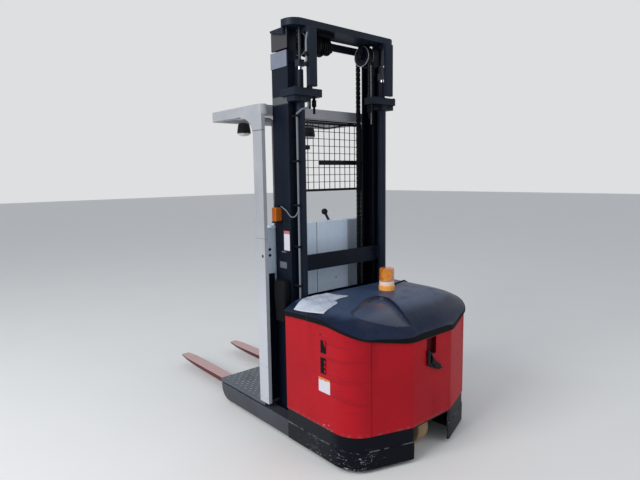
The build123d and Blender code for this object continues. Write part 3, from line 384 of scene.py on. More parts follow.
# Painted shade: the recessed latch tray is the body's red, darkened by painted shade.
tray_shade = band(latch.x, -1.2015, -1.2005)
latch.layer(tray_shade, "#540e16")
painted("battery_case", "#303236 #3a3c40 #5a5650 #78787a", 0.3, 0.3, 0.55)
painted("hose_cover", "#747981 #686d75 #484746 #aaacb0", 0.35, 0.15, 0.5)
painted("label_card", "#ceccd4 #c6c5cd #a09a92 #b4b2ae", 0.15, 0.1, 0.4)
painted("label_band", "#ce7c3c #c47036 #92603c #dcb48c", 0.2, 0.15, 0.4)
painted("label_red_band", "#ba686a #b26264 #8c6462 #c89696", 0.2, 0.15, 0.4)
painted("small_plate", "#686c74 #5c6068 #464240 #96989c", 0.25, 0.3, 0.4)
painted("beacon_foot", "#faaa4e #f0a046 #825632 #e6aa6e", 0.2, 0.15, 0.36)
painted("beacon_collar", "#fae6da #f4dece #aa8c70 #e6dcd2", 0.2, 0.1, 0.35)
painted("reflector", "#ffe278 #fcd664 #e4a03c #ffe896", 0.1, 0.1, 0.3)
amber = painted("amber_glass", "#ee8a1e #e67e18 #be5c14 #fac878", 0.1, 0.05, 0.08)
amber.put(Alpha=0.34, Coat_Weight=0.3)
signal = painted("signal_glass", "#c4681a #ba6218 #784218 #dc9650", 0.15, 0.1, 0.2)
signal.put(Transmission_Weight=0.25, Coat_Weight=0.4)
lens = painted("lamp_glass", "#ced2d6 #c4c8ce #8c8c8a #e6e8ea", 0.15, 0.1, 0.12)
lens.put(Coat_Weight=0.5)
film = painted("clear_film", "#c8d0e0 #dee4ee #acb0ba #f0f2f6", 0.15, 0.4, 0.2, shine=0.6)
film.put(Coat_Weight=0.4)
print(len(FINISHES), "finishes in all")

# %% [markdown]
# ## Pieces taken over from CAD
# CAD edges are perfectly sharp, and real sheet metal never is. A copy of a node's mesh is merged, its
# flat faces are joined again, and a narrow Bevel rounds every real edge, so that it catches the light.
# The copy then stands for the node. Small or round nodes stay as they are and only take a finish.

# %% Dressing a mesh
bodies = {node: name for name, nodes in frame["record"]["behaviour"]["bodies"].items() for node in nodes}
COVERED = set()


def coated(mesh, finish):
    """Gives a mesh the finish as its only material."""
    mesh.materials.clear()
    mesh.materials.append(FINISHES[finish].material)


def dressed(mesh, finish, body, stands_for, width, angle=35):
    """Shades a mesh by angle, gives it a finish and a body, and rounds its edges where a width is given."""
    mesh.polygons.foreach_set("use_smooth", np.ones(len(mesh.polygons), bool))
    mesh.set_sharp_from_angle(angle=math.radians(angle))
    coated(mesh, finish)
    made = shown(mesh.name, mesh)
    if width:
        bevel = made.modifiers.new("round edges", "BEVEL")
        bevel.width, bevel.segments = width, 2
        bevel.limit_method, bevel.angle_limit = "ANGLE", math.radians(angle)
        bevel.use_clamp_overlap = bevel.harden_normals = True
    if stands_for:
        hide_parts(*stands_for)
        COVERED.update(stands_for)
    if body:
        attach(made, body)
    return made


def eased(node, finish, width):
    """The node's mesh with its doubles merged, its flat faces joined and its edges rounded."""
    form = bmesh.new()
    form.from_mesh(frame["nodes"][node].data)
    bmesh.ops.remove_doubles(form, verts=form.verts, dist=1e-5)
    bmesh.ops.dissolve_limit(form, angle_limit=math.radians(0.8), verts=form.verts, edges=form.edges)
    mesh = bpy.data.meshes.new(node + "_eased")
    form.to_mesh(mesh)
    form.free()
    for name in ("custom_normal", "sharp_edge", "sharp_face"):
        if name in mesh.attributes:
            mesh.attributes.remove(mesh.attributes[name])
    return dressed(mesh, finish, bodies[node], [node], width)


# %% Eased copies and plain finishes
EASED = {
    ("skirt_steel", 0.004): ["skirt"],
    ("red_paint", 0.0015): ["side_panels", "rear_panel"],
    ("leg_steel", 0.003): ["straddle_legs"],
    ("mast_paint", 0.002): ["outer_mast", "cab_back_panel"],
    ("head_plate_paint", 0.0015): ["mast_head_plates"],
    ("slate_paint", 0.002): ["mast_collars", "rod_guide_bars"],
    ("inner_mast_paint", 0.002): ["inner_mast", "carriage_frame"],
    ("slate_paint", 0.003): ["mast_top_plate"],
    ("cab_paint", 0.003): ["cab_posts", "overhead_guard"],
    ("console_paint", 0.002): ["console"],
    ("deck_plate", 0.0015): ["deck"],
    ("fork_paint", 0.003): ["fork_bar", "fork_left", "fork_right"],
    ("latch_parts", 0.0015): ["hood_latch"],
    ("signal_glass", 0.003): ["signal_lamps"],
}
PLAIN = {
    "skirt_steel": ["base_frame"],
    "battery_case": ["battery"],
    "slate_paint": ["lift_barrels"],
    "hose_cover": ["mast_hose"],
    "wheel_core": ["drive_turret", "drive_hub", "load_hub_left", "load_hub_right"],
    "tan_tyre": ["drive_tyre", "load_tyre_left", "load_tyre_right"],
    "rod_steel": ["lift_rods"],
    "mast_paint": ["sheave_hangers", "chain_sheaves"],
    "dark_plastic": ["hose_pulley", "cab_controls", "steering_wheel"],
    "bare_steel": ["carriage_rollers"],
    "guard_steel": ["rear_guard"],
}
for (finish, width), nodes in EASED.items():
    for node in nodes:
        eased(node, finish, width)
print("eased", len(COVERED))
for finish, nodes in PLAIN.items():
    COVERED.update(nodes)
    for node in nodes:
        coated(frame["nodes"][node].data, finish)
print("with a finish", len(COVERED))

# %% [markdown]
# ## Tools for new pieces
# New pieces are worked out as arrays of points in millimetres from the truck's rear face, as on its
# drawing, and moved into the frame at the end. A form is a pair: its points and its faces. Four ways of
# making one cover almost all the small parts here: an outline carried straight, a profile turned about an
# axis, a round section carried along a path, and a form repeated at many places.

# %% Forms
def grid_faces(rows, columns, closed=False):
    """The four-sided faces of a grid of points, row by row; closed joins each row's end to its start."""
    row = np.arange(rows - 1)[:, None] * columns
    column = np.arange(columns if closed else columns - 1)
    after = (column + 1) % columns
    corners = np.broadcast_arrays(row + column, row + after, row + columns + after, row + columns + column)
    return np.stack(corners, axis=-1).reshape(-1, 4).tolist()


def tube(rings, lids=True):
    """Closed rings of points joined one to the next; lids close the first and the last."""
    rings = np.asarray(rings, float)
    rows, columns = rings.shape[:2]
    ends = [list(range(k, k + columns)) for k in (0, (rows - 1) * columns)]
    return rings.reshape(-1, 3), grid_faces(rows, columns, True) + ends * lids


def prism(outline, start, end, axis=2):
    """An outline (u, v) carried along an axis: the points (u, v, start) and (u, v, end)."""
    return tube([np.insert(np.asarray(outline, float), axis, place, axis=1) for place in (start, end)])


def turned(profile, steps=20):
    """A profile (r, h) turned about Z: the points (r cos a, r sin a, h) for each angle a."""
    radius, height = np.asarray(profile, float).T
    angle = np.linspace(0, 2 * np.pi, steps, endpoint=False)
    flat = [np.outer(radius, np.cos(angle)), np.outer(radius, np.sin(angle))]
    return tube(np.stack([*flat, np.repeat(height, steps).reshape(-1, steps)], axis=-1), lids=False)


def smooth_path(points, steps=12):
    """A curve through the points: between two of them a cubic whose slopes come from their neighbours."""
    points = np.asarray(points, float)
    more = np.concatenate([2 * points[:1] - points[1:2], points, 2 * points[-1:] - points[-2:-1]])
    share = np.linspace(0, 1, steps, endpoint=False)[:, None]
    before, start, end, after = (more[k : len(more) - 3 + k, None] for k in range(4))
    first, second = end - before, 2 * before - 5 * start + 4 * end - after
    third = 3 * (start - end) + after - before
    curve = start + 0.5 * share * (first + share * (second + share * third))
    return np.concatenate([curve.reshape(-1, points.shape[1]), points[-1:]])


def swept(path, radius, sides, beside=(0.0, 0.0, 1.0)):
    """A round section along a path: p + r (cos a · m + sin a · n), m and n square to the path."""
    path = np.asarray(path, float)
    along = np.gradient(path, axis=0)
    along /= np.linalg.norm(along, axis=1, keepdims=True)
    first = np.cross(along, beside)
    first /= np.linalg.norm(first, axis=1, keepdims=True)
    second = np.cross(along, first)
    angle = np.linspace(0, 2 * np.pi, sides, endpoint=False)[None, :, None]
    return tube(path[:, None] + radius * (np.cos(angle) * first[:, None] + np.sin(angle) * second[:, None]))


def hose(points, radius, beside=(0.0, 0.0, 1.0), sides=10, steps=8):
    """A round line along a smooth curve through the points."""
    return swept(smooth_path(points, steps), radius, sides, beside)


def repeated(form, places):
    """The form once at each place: its points plus the place, all worked out as one array."""
    points, faces = form
    places = np.asarray(places, float).reshape(-1, 3)
    moved = (places[:, None] + points[None]).reshape(-1, 3)
    shifts = (np.arange(len(places)) * len(points)).tolist()
    return moved, [[k + shift for k in face] for shift in shifts for face in faces]


def joined(*forms):
    """Several forms as one; each form's face numbers move on by the points before them."""
    starts = np.cumsum([0] + [len(points) for points, _ in forms]).tolist()
    faces = [[k + start for k in face] for start, (_, group) in zip(starts, forms) for face in group]
    return np.concatenate([points for points, _ in forms]), faces


def toward(form, place, axis=(0, 0, 1)):
    """The form turned so that its Z looks along axis, then moved to place."""
    turn = np.array(Vector(axis).to_track_quat("Z", "Y").to_matrix())
    return form[0] @ turn.T + np.asarray(place, float), form[1]


def mirrored(*forms):
    """The forms and their mirror images on the truck's other side."""
    points, faces = joined(*forms)
    return joined((points, faces), (points * (1, -1, 1), faces))


def piece(name, form, finish, body="chassis", stands_for=(), width=0.0, angle=35):
    """Puts a form into a mesh, in metres in the frame, closed and with its faces outwards."""
    mesh = bpy.data.meshes.new(name)
    mesh.from_pydata((form[0] / 1000 - (REAR, 0, 0)).tolist(), [], form[1])
    shell = bmesh.new()
    shell.from_mesh(mesh)
    bmesh.ops.remove_doubles(shell, verts=shell.verts, dist=1e-6)
    bmesh.ops.recalc_face_normals(shell, faces=shell.faces)
    shell.to_mesh(mesh)
    shell.free()
    return dressed(mesh, finish, body, stands_for, width, angle)


def card(x, y, z):
    """A block between two corners, each given as a pair of numbers."""
    return prism([(x[0], y[0]), (x[1], y[0]), (x[1], y[1]), (x[0], y[1])], *z)


def bolts(radius, height, xs, ys, zs, axis=(0, 0, 1)):
    """Hexagon heads with a broken upper edge, one wherever the places along x, y and z meet."""
    head = turned([(0, 0), (radius, 0), (radius, height * 0.7), (radius * 0.8, height), (0, height)], 6)
    return repeated(toward(head, (0, 0, 0), axis), [(x, y, z) for x in xs for y in ys for z in zs])


print("tools ready")

# %% [markdown]
# ## Hood
# The hood is one pressed or moulded cover. Its plan is the body's plan, a little larger, and its height
# over each spot depends on two numbers only, so it is a height field: rings are drawn from the middle to
# the outline and every point of a ring is lifted to the field. A long leaf-shaped face is pressed into the
# left rear quarter. It falls away from its lower crease and steps up again at its upper one. The mesh
# carries two marks, one for a painted highlight on the pressed face and one for a painted shadow along the
# crease, and the hood's paint reads them.

# %% Hood heights
HOOD_FRONT = 703.0
SIDE, REAR_HALF, CORNER = 555.0, 180.0, 132.0
# Place along the truck, half width, height of the edge, half width of the flat, height of the crown
HOOD_ROWS = np.array(
    [
        (-12, 215, 745, 90, 756),
        (10, 262, 733, 120, 776),
        (57, 395, 756, 200, 816),
        (100, 500, 775, 260, 840),
        (164, 556, 812, 320, 864),
        (229, 572, 833, 360, 879),
        (340, 572, 855, 400, 892),
        (430, 572, 854, 414, 896),
        (710, 572, 837, 430, 900),
    ],
    float,
).T
LEAF_TOP = smooth_path(
    [(262, 412), (290, 385), (341, 281), (425, 110), (428, 20), (364, -3), (276, 31), (122, 111), (50, 145)]
)
LEAF_LOW = smooth_path([(262, 412), (236, 414), (180, 395), (133, 356), (90, 296), (62, 234), (50, 145)])
LEAF = np.concatenate([LEAF_TOP, LEAF_LOW[::-1]])


def reach_of(path, x, y):
    """The least distance from each point to a line made of short runs."""
    spots = np.stack([x, y], axis=-1)[:, None]
    start, run = path[:-1], np.diff(path, axis=0)
    share = np.clip(((spots - start) * run).sum(-1) / (run**2).sum(-1), 0, 1)
    return np.linalg.norm(spots - start - share[..., None] * run, axis=-1).min(axis=1)


def within(loop, x, y):
    """True inside a closed outline: a line from the point crosses it an odd number of times."""
    (ax, ay), (bx, by) = loop.T, np.roll(loop, -1, axis=0).T
    x, y = x[:, None], y[:, None]
    rise = np.where(by == ay, 1e-9, by - ay)
    return (((ay > y) != (by > y)) & (x < (bx - ax) * (y - ay) / rise + ax)).sum(axis=1) % 2 == 1


def step_up(value):
    """0 below 0, 1 above 1, and 3v² - 2v³ between them."""
    value = np.clip(value, 0, 1)
    return value * value * (3 - 2 * value)


def hood_height(x, y):
    """Crown less (crown - edge) · s², s the share of the shoulder; rows averaged over 60 mm of length."""
    spots = x[:, None] + np.linspace(-30, 30, 9)
    half, edge, flat, crown = (np.interp(spots, HOOD_ROWS[0], row).mean(axis=1) for row in HOOD_ROWS[1:])
    share = np.clip((abs(y) - flat) / (half - flat), 0, 1.2)
    height = crown - (crown - edge) * share**2
    upper, lower = reach_of(LEAF_TOP, x, y), reach_of(LEAF_LOW, x, y)
    inside = within(LEAF, x, y)
    depth = 25 - 14 * step_up((y - 60) / 260)
    fall = inside * depth * step_up(upper / 16) * lower / (lower + upper + 1)
    return height - fall


def hood_top(x, y):
    """The hood's height at one spot."""
    return float(hood_height(np.array([float(x)]), np.array([float(y)]))[0])


JOINT_LEVEL, JOINT_ARC = 834, 552.4


def rim_height(x):
    """The joint under the hood: level ahead of x = 340, then falling in an arc, and level at the rear."""
    arc = JOINT_LEVEL - JOINT_ARC + np.sqrt(JOINT_ARC**2 - np.clip(340 - x, 0, 283) ** 2)
    return np.where(x > 57, arc - np.clip((x - 480) / 268, 0, 1) * 14, np.interp(x, [8, 57], [733, 756]))


print("hood from", round(hood_top(0, 0)), "to", round(hood_top(400, 0)), "mm high")

# %% Plan outline
ARC_STEPS = 14


def rounded(corners, radii):
    """A closed outline whose corners are arcs, worked out as blends of the two arc ends."""
    corners, radii = np.asarray(corners, float), np.asarray(radii, float)[:, None]
    ways = [np.roll(corners, k, axis=0) - corners for k in (1, -1)]
    ways = [way / np.linalg.norm(way, axis=1, keepdims=True) for way in ways]
    half_turn = np.arccos(np.clip(-(ways[0] * ways[1]).sum(axis=1), -1, 1))[:, None] / 2
    middle = ways[0] + ways[1]
    middle = corners + middle / np.linalg.norm(middle, axis=1, keepdims=True) * radii / np.cos(half_turn)
    starts, ends = (corners + way * radii * np.tan(half_turn) - middle for way in ways)
    share, turn = np.linspace(0, 1, ARC_STEPS)[None, :, None], 2 * half_turn[:, None]
    arcs = np.sin((1 - share) * turn) * starts[:, None] + np.sin(share * turn) * ends[:, None]
    return (middle[:, None] + arcs / np.sin(turn)).reshape(-1, 2)


def evenly(path, count):
    """A line with count points at equal distances along it."""
    path = np.asarray(path, float)
    length = np.concatenate([[0], np.cumsum(np.linalg.norm(np.diff(path, axis=0), axis=1))])
    places = np.linspace(0, length[-1], count)
    return np.stack([np.interp(places, length, column) for column in path.T], axis=-1)


COUNT = 360


def body_outline(grow):
    """The body's plan moved outwards by grow: flat sides, slanting corners and a narrow rear."""
    run = SIDE - REAR_HALF
    length = math.hypot(CORNER, run)
    nx, ny = run / length, CORNER / length
    reach = ny * REAR_HALF + grow
    side_y = SIDE + grow
    corner_x, rear_y = (ny * side_y - reach) / nx, (reach - nx * grow) / ny
    half = [(HOOD_FRONT, side_y), (corner_x, side_y), (-grow, rear_y)]
    corners = half + [(x, -y) for x, y in reversed(half)]
    radii = [3, 175 + grow, 30 + grow, 30 + grow, 175 + grow, 3]
    loop = rounded(corners, radii)
    return evenly(np.concatenate([loop, loop[:1]]), COUNT + 1)[:-1]


# %% Hood and its edge band
MIDDLE = np.array([330.0, 0.0])
outer_edge, inner_edge = body_outline(7), body_outline(1)
shares = np.linspace(0.0, 1.0, 84)[:, None, None]
top = (MIDDLE + shares * (body_outline(5) - MIDDLE)).reshape(-1, 2)
edge_z = hood_height(*outer_edge.T)
under = (MIDDLE + np.linspace(0.985, 0.0, 22)[:, None, None] * (inner_edge - MIDDLE)).reshape(-1, 2)
rings = [
    np.column_stack([top, hood_height(*top.T)]),
    np.column_stack([outer_edge, edge_z - 2]),
    np.column_stack([outer_edge, edge_z - 4]),
    np.column_stack([inner_edge, edge_z - 4]),
    np.column_stack([under, hood_height(*under.T) - 5]),
]
points = np.concatenate(rings)
lugs = repeated(card((685, 700), (-8, 8), (878, 893)), [(0, 204, 0), (0, -204, 0)])
sheet = (points, grid_faces(len(points) // COUNT, COUNT, True))
cover = piece("hood_sheet", joined(sheet, lugs), "hood_paint", "hood", ["hood"], angle=50).data
place = np.empty(3 * len(cover.vertices))
cover.vertices.foreach_get("co", place)
x, y = ((place.reshape(-1, 3) + (REAR, 0, 0)) * 1000).T[:2]
upper = reach_of(LEAF_TOP, x, y)
# These marks carry a painted highlight on the pressed leaf face and a painted shadow along its upper crease.
face = within(LEAF, x, y) * step_up(upper / 20)
crease_shadow = step_up(1 - upper / 13) * step_up((300 - y) / 180)
for name, values in (("leaf_face", face), ("leaf_crease", crease_shadow)):
    cover.attributes.new(name, "FLOAT", "POINT").data.foreach_set("value", values.astype(np.float32))
low_z = rim_height(outer_edge[:, 0]) - 1
loops = [
    (7.6, edge_z + 1),
    (9.6, edge_z - 1),
    (9.6, low_z - 3),
    (6.6, low_z - 3),
    (6.6, low_z),
    (1.6, low_z),
    (1.6, edge_z - 3),
    (7.6, edge_z + 1),
]
kept = outer_edge[:, 0] < 701
ribbon = [np.column_stack([body_outline(grow), height])[kept] for grow, height in loops]
length = int(kept.sum())
lids = [[k * length + end for k in range(len(loops) - 1)] for end in (0, length - 1)]
form = (np.concatenate(ribbon), grid_faces(len(loops), length) + lids)
piece("hood_edge_band", form, "black_rubber", "hood")
print("hood edge is", (edge_z - low_z).min().round(), "to", (edge_z - low_z).max().round(), "mm high")

# %% [markdown]
# ## What lies on the hood
# A sleeve of clear film with a sheet in it lies over the hood's left front. It is stiff, so it only
# creases: a patch is spanned between four edges and follows the hood with small folds added. Beside it are
# the beacon's lead, two clips and one clip on the edge.

# %% Sleeve, lead and clips
ROWS, COLUMNS = 40, 60


def spanned(low, high, left, right):
    """A patch between four edges: the two straight blends added, less the blend of the corners."""
    u, v = np.linspace(0, 1, COLUMNS)[None, :, None], np.linspace(0, 1, ROWS)[:, None, None]
    low, high = evenly(low, COLUMNS)[None], evenly(high, COLUMNS)[None]
    left, right = evenly(left, ROWS)[:, None], evenly(right, ROWS)[:, None]
    low_row, high_row = ((1 - u) * line[:, :1] + u * line[:, -1:] for line in (low, high))
    corners = (1 - v) * low_row + v * high_row
    return (1 - v) * low + v * high + (1 - u) * left + u * right - corners


SLEEVE_LOW = [(625, 545), (486, 534), (385, 514)]
SLEEVE_RIGHT = [(385, 514), (445, 356), (470, 328), (523, 307), (542, 168)]
SLEEVE_HIGH = [(698, 385), (690, 225), (542, 168)]
plan = spanned(SLEEVE_LOW, SLEEVE_HIGH, [(625, 545), (698, 385)], SLEEVE_RIGHT).reshape(-1, 2)
x, y = plan.T
folds = 2.4 * np.sin(x / 31 + y / 47) * np.sin(y / 29 - x / 60) + 0.5 * np.sin((x + 1.7 * y) / 11)
lift = hood_height(x, y) + 5 + folds
faces = grid_faces(ROWS, COLUMNS)
back = [[k + len(plan) for k in face[::-1]] for face in faces]
index = np.arange(len(plan)).reshape(ROWS, COLUMNS)
border = np.concatenate([index[0], index[1:, -1], index[-1, -2::-1], index[-2:0:-1, 0]])
after = np.roll(border, -1)
walls = np.stack([border, border + len(plan), after + len(plan), after], axis=-1).tolist()
both = np.concatenate([np.column_stack([plan, lift]), np.column_stack([plan, lift - 1.6])])
piece("document_sleeve", (both, faces + back + walls), "clear_film", "hood", angle=50)
hem = smooth_path([(623, 543), (560, 541), (486, 534), (430, 524), (387, 513)])
hem_line = np.column_stack([hem, hood_height(*hem.T) + 6])
piece("sleeve_hem", swept(hem_line, 4.5, 8), "label_card", "hood")
lead = smooth_path(
    [(520, -200), (550, -262), (577, -330), (596, -400), (612, -462), (626, -520), (628, -532)]
)
lead_line = np.column_stack([lead, hood_height(*lead.T) + 4 - 12 * step_up((-512 - lead[:, 1]) / 20)])
grommet = turned([(3, -3), (9, -3), (9, 3), (6, 5), (3, 3), (3, -3)])
grommet = toward(grommet, (628, -530, hood_top(628, -530)), (0, -0.3, 1))
piece("beacon_lead", joined(swept(lead_line, 4, 10), grommet), "black_rubber", "hood")
clip = card((-5, 5), (-8, 8), (-4, 6))
clips = [(x, y, hood_top(x, y) + 3) for x, y in ((577, -330), (612, -462))]
edge_clip = card((474, 484), (557, 565.5), (826, 862))
piece("hood_clips", joined(repeated(clip, clips), edge_clip), "dark_plastic", "hood", width=0.001)
print("sleeve points", len(plan))

# %% [markdown]
# ## Beacon
# A turning warning lamp: an orange foot, a pale collar, and an amber lens over a dish that turns in front
# of a bulb. The lens has fine level ribs, which are a ripple in the turned profile.

# %% Beacon
BEACON = (512.0, -166.0, 0.0)
foot = turned([(0, 893), (54, 893), (54, 925), (52, 931), (0, 931)], 48)
piece("beacon_foot_ring", toward(foot, BEACON), "beacon_foot", "hood", ["beacon_base"], 0.001)
collar = turned([(0, 930.5), (50, 930.5), (50.5, 934), (50.5, 951), (50, 956), (0, 956)], 48)
piece("beacon_collar", toward(collar, BEACON), "beacon_collar", "hood")
rise = np.linspace(957, 1038, 60)
ripple = 51.5 - (rise - 957) * 0.02 + 0.4 * np.cos(rise * 2 * np.pi / 5.5)
dome = [(r, 1038 + h) for r, h in ((48.5, 5), (45, 8), (30, 9.6), (12, 10), (0, 10))]
inner = [(0, 1045.4), *((r - 2.4, h - 2.4) for r, h in reversed(dome[:-1])), (48.6, 957), (51.5, 957)]
glass = turned([*zip(ripple, rise), *dome, *inner], 48)
piece("beacon_lens_ribbed", toward(glass, BEACON), "amber_glass", "hood", ["beacon_lens"])
dish = turned([(6, 0), (18, 3), (29, 9), (36, 17), (37, 17), (30, 7), (18, 0.5), (6, -3), (6, 0)], 32)
bulb = turned([(0, 972), (7, 974), (9, 990), (7, 1004), (0, 1008)], 16)
dish = toward(dish, (BEACON[0] + 10, BEACON[1] - 12, 998), (-0.66, 0.75, 0.1))
piece("beacon_dish", joined(dish, toward(bulb, BEACON)), "reflector", "hood")
print("beacon rings", len(rise))

# %% [markdown]
# ## Small parts on the body
# Louvre inserts behind the cut-outs are stacks of slats, seen as black teeth. The label is left blank and
# keeps its coloured top. The latch grip is a thick bent bar over the thinner one of the measured model.

# %% Louvres, label, latch and screws
SLATS = []
for rear, front, low, high in ((326, 368, 668, 738), (328, 370, 546, 636)):
    count = round((high - low) / 17.5)
    rungs = np.linspace(low - 2, high + 2, count + 1)
    steps = np.stack([rungs[:-1], rungs[1:]], axis=-1)
    teeth = np.stack([np.repeat([[558.4, 555.4]], count, axis=0), steps], axis=-1)
    outline = [(546, low - 2), *teeth.reshape(-1, 2).tolist(), (546, high + 2)]
    SLATS.append(prism(outline, rear - 2, front + 2, 0))
piece("louvre_inserts", mirrored(*SLATS), "black_rubber")
notches = [prism([(324, 739), (346, 739), (324, 704)], 555.4, 560, 1)]
for low in (549, 577, 605):
    notches.append(prism([(326, low), (337, low + 10), (337, low + 18), (326, low + 24)], 555.4, 560, 1))
piece("louvre_edges", mirrored(*notches), "red_paint")
piece("side_label", card((294, 391), (554.9, 555.7), (432, 518)), "label_card")
tabs = [(294, 506), (294, 518), (391, 518), (391, 504), (372, 500), (352, 507), (330, 501), (311, 508)]
piece("side_label_band", prism(tabs, 554.9, 556.1, 1), "label_band")
GRIP = [(64, 652), (44, 652), (34, 630), (-20, 568), (-64, 542), (-66, 522)]
GRIP += [(-46, 512), (-10, 536), (22, 572), (40, 560), (64, 560)]
stem = card((-6, 8), (24, 46), (600, 640))
grip = joined(prism(GRIP, -14, -3, 0), stem)
piece("latch_grip", grip, "latch_parts", width=0.003)
screw = turned([(0, 0), (5, 0), (5, 1.4), (3.4, 2.2), (0, 2.2)], 16)
panel_screw = toward(screw, (372, 555, 770), (0, 1, 0))
piece("panel_screws", mirrored(panel_screw), "dark_plastic")
print("louvre slats", sum(len(points) for points, _ in SLATS))

# %% [markdown]
# ## Leaf chains
# A leaf chain is flat plates side by side on pins, each plate a figure of eight. One plate is drawn once
# and repeated by its pitch. The front runs shorten as the cab climbs to the sheaves, and the rear runs
# lengthen as the inner mast rises. Here each run is drawn at one length; the front runs move with the cab
# and the bends with the inner mast.

# %% Chains
SHEAVE_X, SHEAVE_Y, SHEAVE_Z, SHEAVE_R = 825.0, 275.0, 2488.0, 59.2
CHAIN_PITCH = 15.875


def link_row(x, heights, pitch, parity):
    """Plates of every second link: (x + r cos a, z + r sin a) round two pin centres a pitch apart."""
    angle = np.linspace(0, np.pi, 5)
    lobe = np.stack([5.4 * np.cos(angle), 6.6 * np.sin(angle)], axis=-1)
    outline = [(3.9, pitch / 2), *(lobe + (0, pitch)).tolist(), (-3.9, pitch / 2), *(-lobe).tolist()]
    sides = (-10.8, 0.0, 10.8) if parity else (-16.2, -5.4, 5.4, 16.2)
    places = [(x, SHEAVE_Y + side, z) for z in heights for side in sides]
    return repeated(prism(outline, -2.4, 2.4, 1), places)


def pins(x, heights):
    """Six-sided pins across the chain, one at each height."""
    circle = [(3.0 * math.cos(a), 3.0 * math.sin(a)) for a in np.arange(6) * math.pi / 3]
    return repeated(prism(circle, -19.4, 19.4, 1), [(x, SHEAVE_Y, z) for z in heights])


def chain_run(x, low, high):
    """A straight run: two alternating rows of links and a pin at every pitch."""
    count = round((high - low) / CHAIN_PITCH)
    pitch = (high - low) / count
    at_z = low + pitch * np.arange(count)
    rows = [link_row(x, at_z[parity::2], pitch, parity) for parity in (0, 1)]
    return joined(*rows, pins(x, [*at_z, high]))


def spun(form, angle):
    """The form turned about the sheave's axis: x and z mixed by the angle's cosine and sine."""
    x, y, z = (form[0] - (SHEAVE_X, 0, SHEAVE_Z)).T
    cos, sin = math.cos(angle), math.sin(angle)
    return np.column_stack([x * cos + z * sin + SHEAVE_X, y, z * cos - x * sin + SHEAVE_Z]), form[1]


front_run = mirrored(chain_run(SHEAVE_X + SHEAVE_R, 430, SHEAVE_Z - 8))
front = piece("chain_front_links", front_run, "chain_steel", "cab", ["chain_front_runs"])
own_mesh(front)
rear_run = mirrored(chain_run(SHEAVE_X - SHEAVE_R, 2225, SHEAVE_Z))
rear = piece("chain_rear_links", rear_run, "chain_steel", None, ["chain_rear_runs"])
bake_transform(rear)
arc = math.pi * SHEAVE_R / 12
over = []
for k in range(12):
    link = link_row(SHEAVE_X - SHEAVE_R, [SHEAVE_Z - arc / 2], arc, k % 2)
    pin = pins(SHEAVE_X - SHEAVE_R, [SHEAVE_Z + arc / 2])
    over.append(spun(joined(link, pin), (k + 0.5) * math.pi / 12))
piece("chain_bend_links", mirrored(*over), "chain_steel", "inner_mast", ["chain_bends"])
print("links in a front run", round((SHEAVE_Z - 430) / CHAIN_PITCH))

# %% [markdown]
# ## Mast head
# Under the top plate hang the sheaves with bright worn rims, a ribbed drum for the hoses and the hoses
# themselves. They are clipped along the mast, so they are fixed lines and not free cords. Each is a round
# section along a smooth curve.

# %% Sheave rims, drum and hoses
rim = [(64, -1.5), (70.3, -1.5), (71, 0.5), (69.5, 2.2), (65, 2.2), (64, 0), (64, -1.5)]
hub = [(0, -2), (18, -2), (18, 6), (14, 9), (0, 9)]


def at_sheaves(profile, steps, gap):
    """A turned part on both faces of each sheave, gap from the sheave's middle."""
    part = turned(profile, steps)
    faces = [toward(part, (SHEAVE_X, SHEAVE_Y + gap * k, SHEAVE_Z), (0, k, 0)) for k in (1, -1)]
    return mirrored(*faces)


piece("sheave_rims", at_sheaves(rim, 48, 24), "sheave_rim", "inner_mast")
piece("sheave_pin_nuts", at_sheaves(hub, 6, 40), "slate_paint", "inner_mast")
along = np.arange(0, 141)
ribs = 39 + 5 * np.abs(np.sin(along * np.pi / 17.5))
drum = turned([(0, 0), *zip(ribs, along), (0, 140)], 40)
drum = toward(drum, (806, 78, 2486), (0, 1, 0))
straps = joined(card((792, 820), (68, 76), (2470, 2562)), card((740, 800), (80, 216), (2536, 2561)))
piece("hose_drum", joined(drum, straps), "black_rubber", "inner_mast", width=0.001)
half = np.array([(762, 2452), (762, 2490), (776, 2524), (806, 2536)])
bend = np.concatenate([half, half[-2::-1] * (-1, 1) + (2 * 806, 0)])
runs = [hose(np.insert(bend, 1, y, axis=1), 7, (0, 1, 0)) for y in (92, 110, 128, 200)]
piece("drum_hoses", joined(*runs), "black_rubber", "inner_mast")
spots = [(657, 388, 2334), (657, 388, 2400), (657, 387, 2470), (660, 372, 2514)]
spots += [(668, 340, 2540), (680, 304, 2552)]
piece("top_hose", hose(spots, 6.5, (1, 0, 0), 12, 10), "hose_cover", "inner_mast")
nut = turned([(0, 0), (10, 0), (11, 2), (11, 16), (9, 18), (9, 26), (0, 26)], 6)
nuts = repeated(nut, [(657, 388, 2318), (657, 388, 2376)])
strap = card((655, 672), (374, 400), (2322, 2340))
piece("top_hose_fittings", joined(nuts, strap), "dark_plastic", "inner_mast", width=0.001)
spots = [(751, -268, 2020), (751, -268, 2200), (751, -267, 2330), (752, -266, 2420)]
piece("right_line", hose(spots, 4, (1, 0, 0)), "hose_cover")
print("drum profile points", len(along))

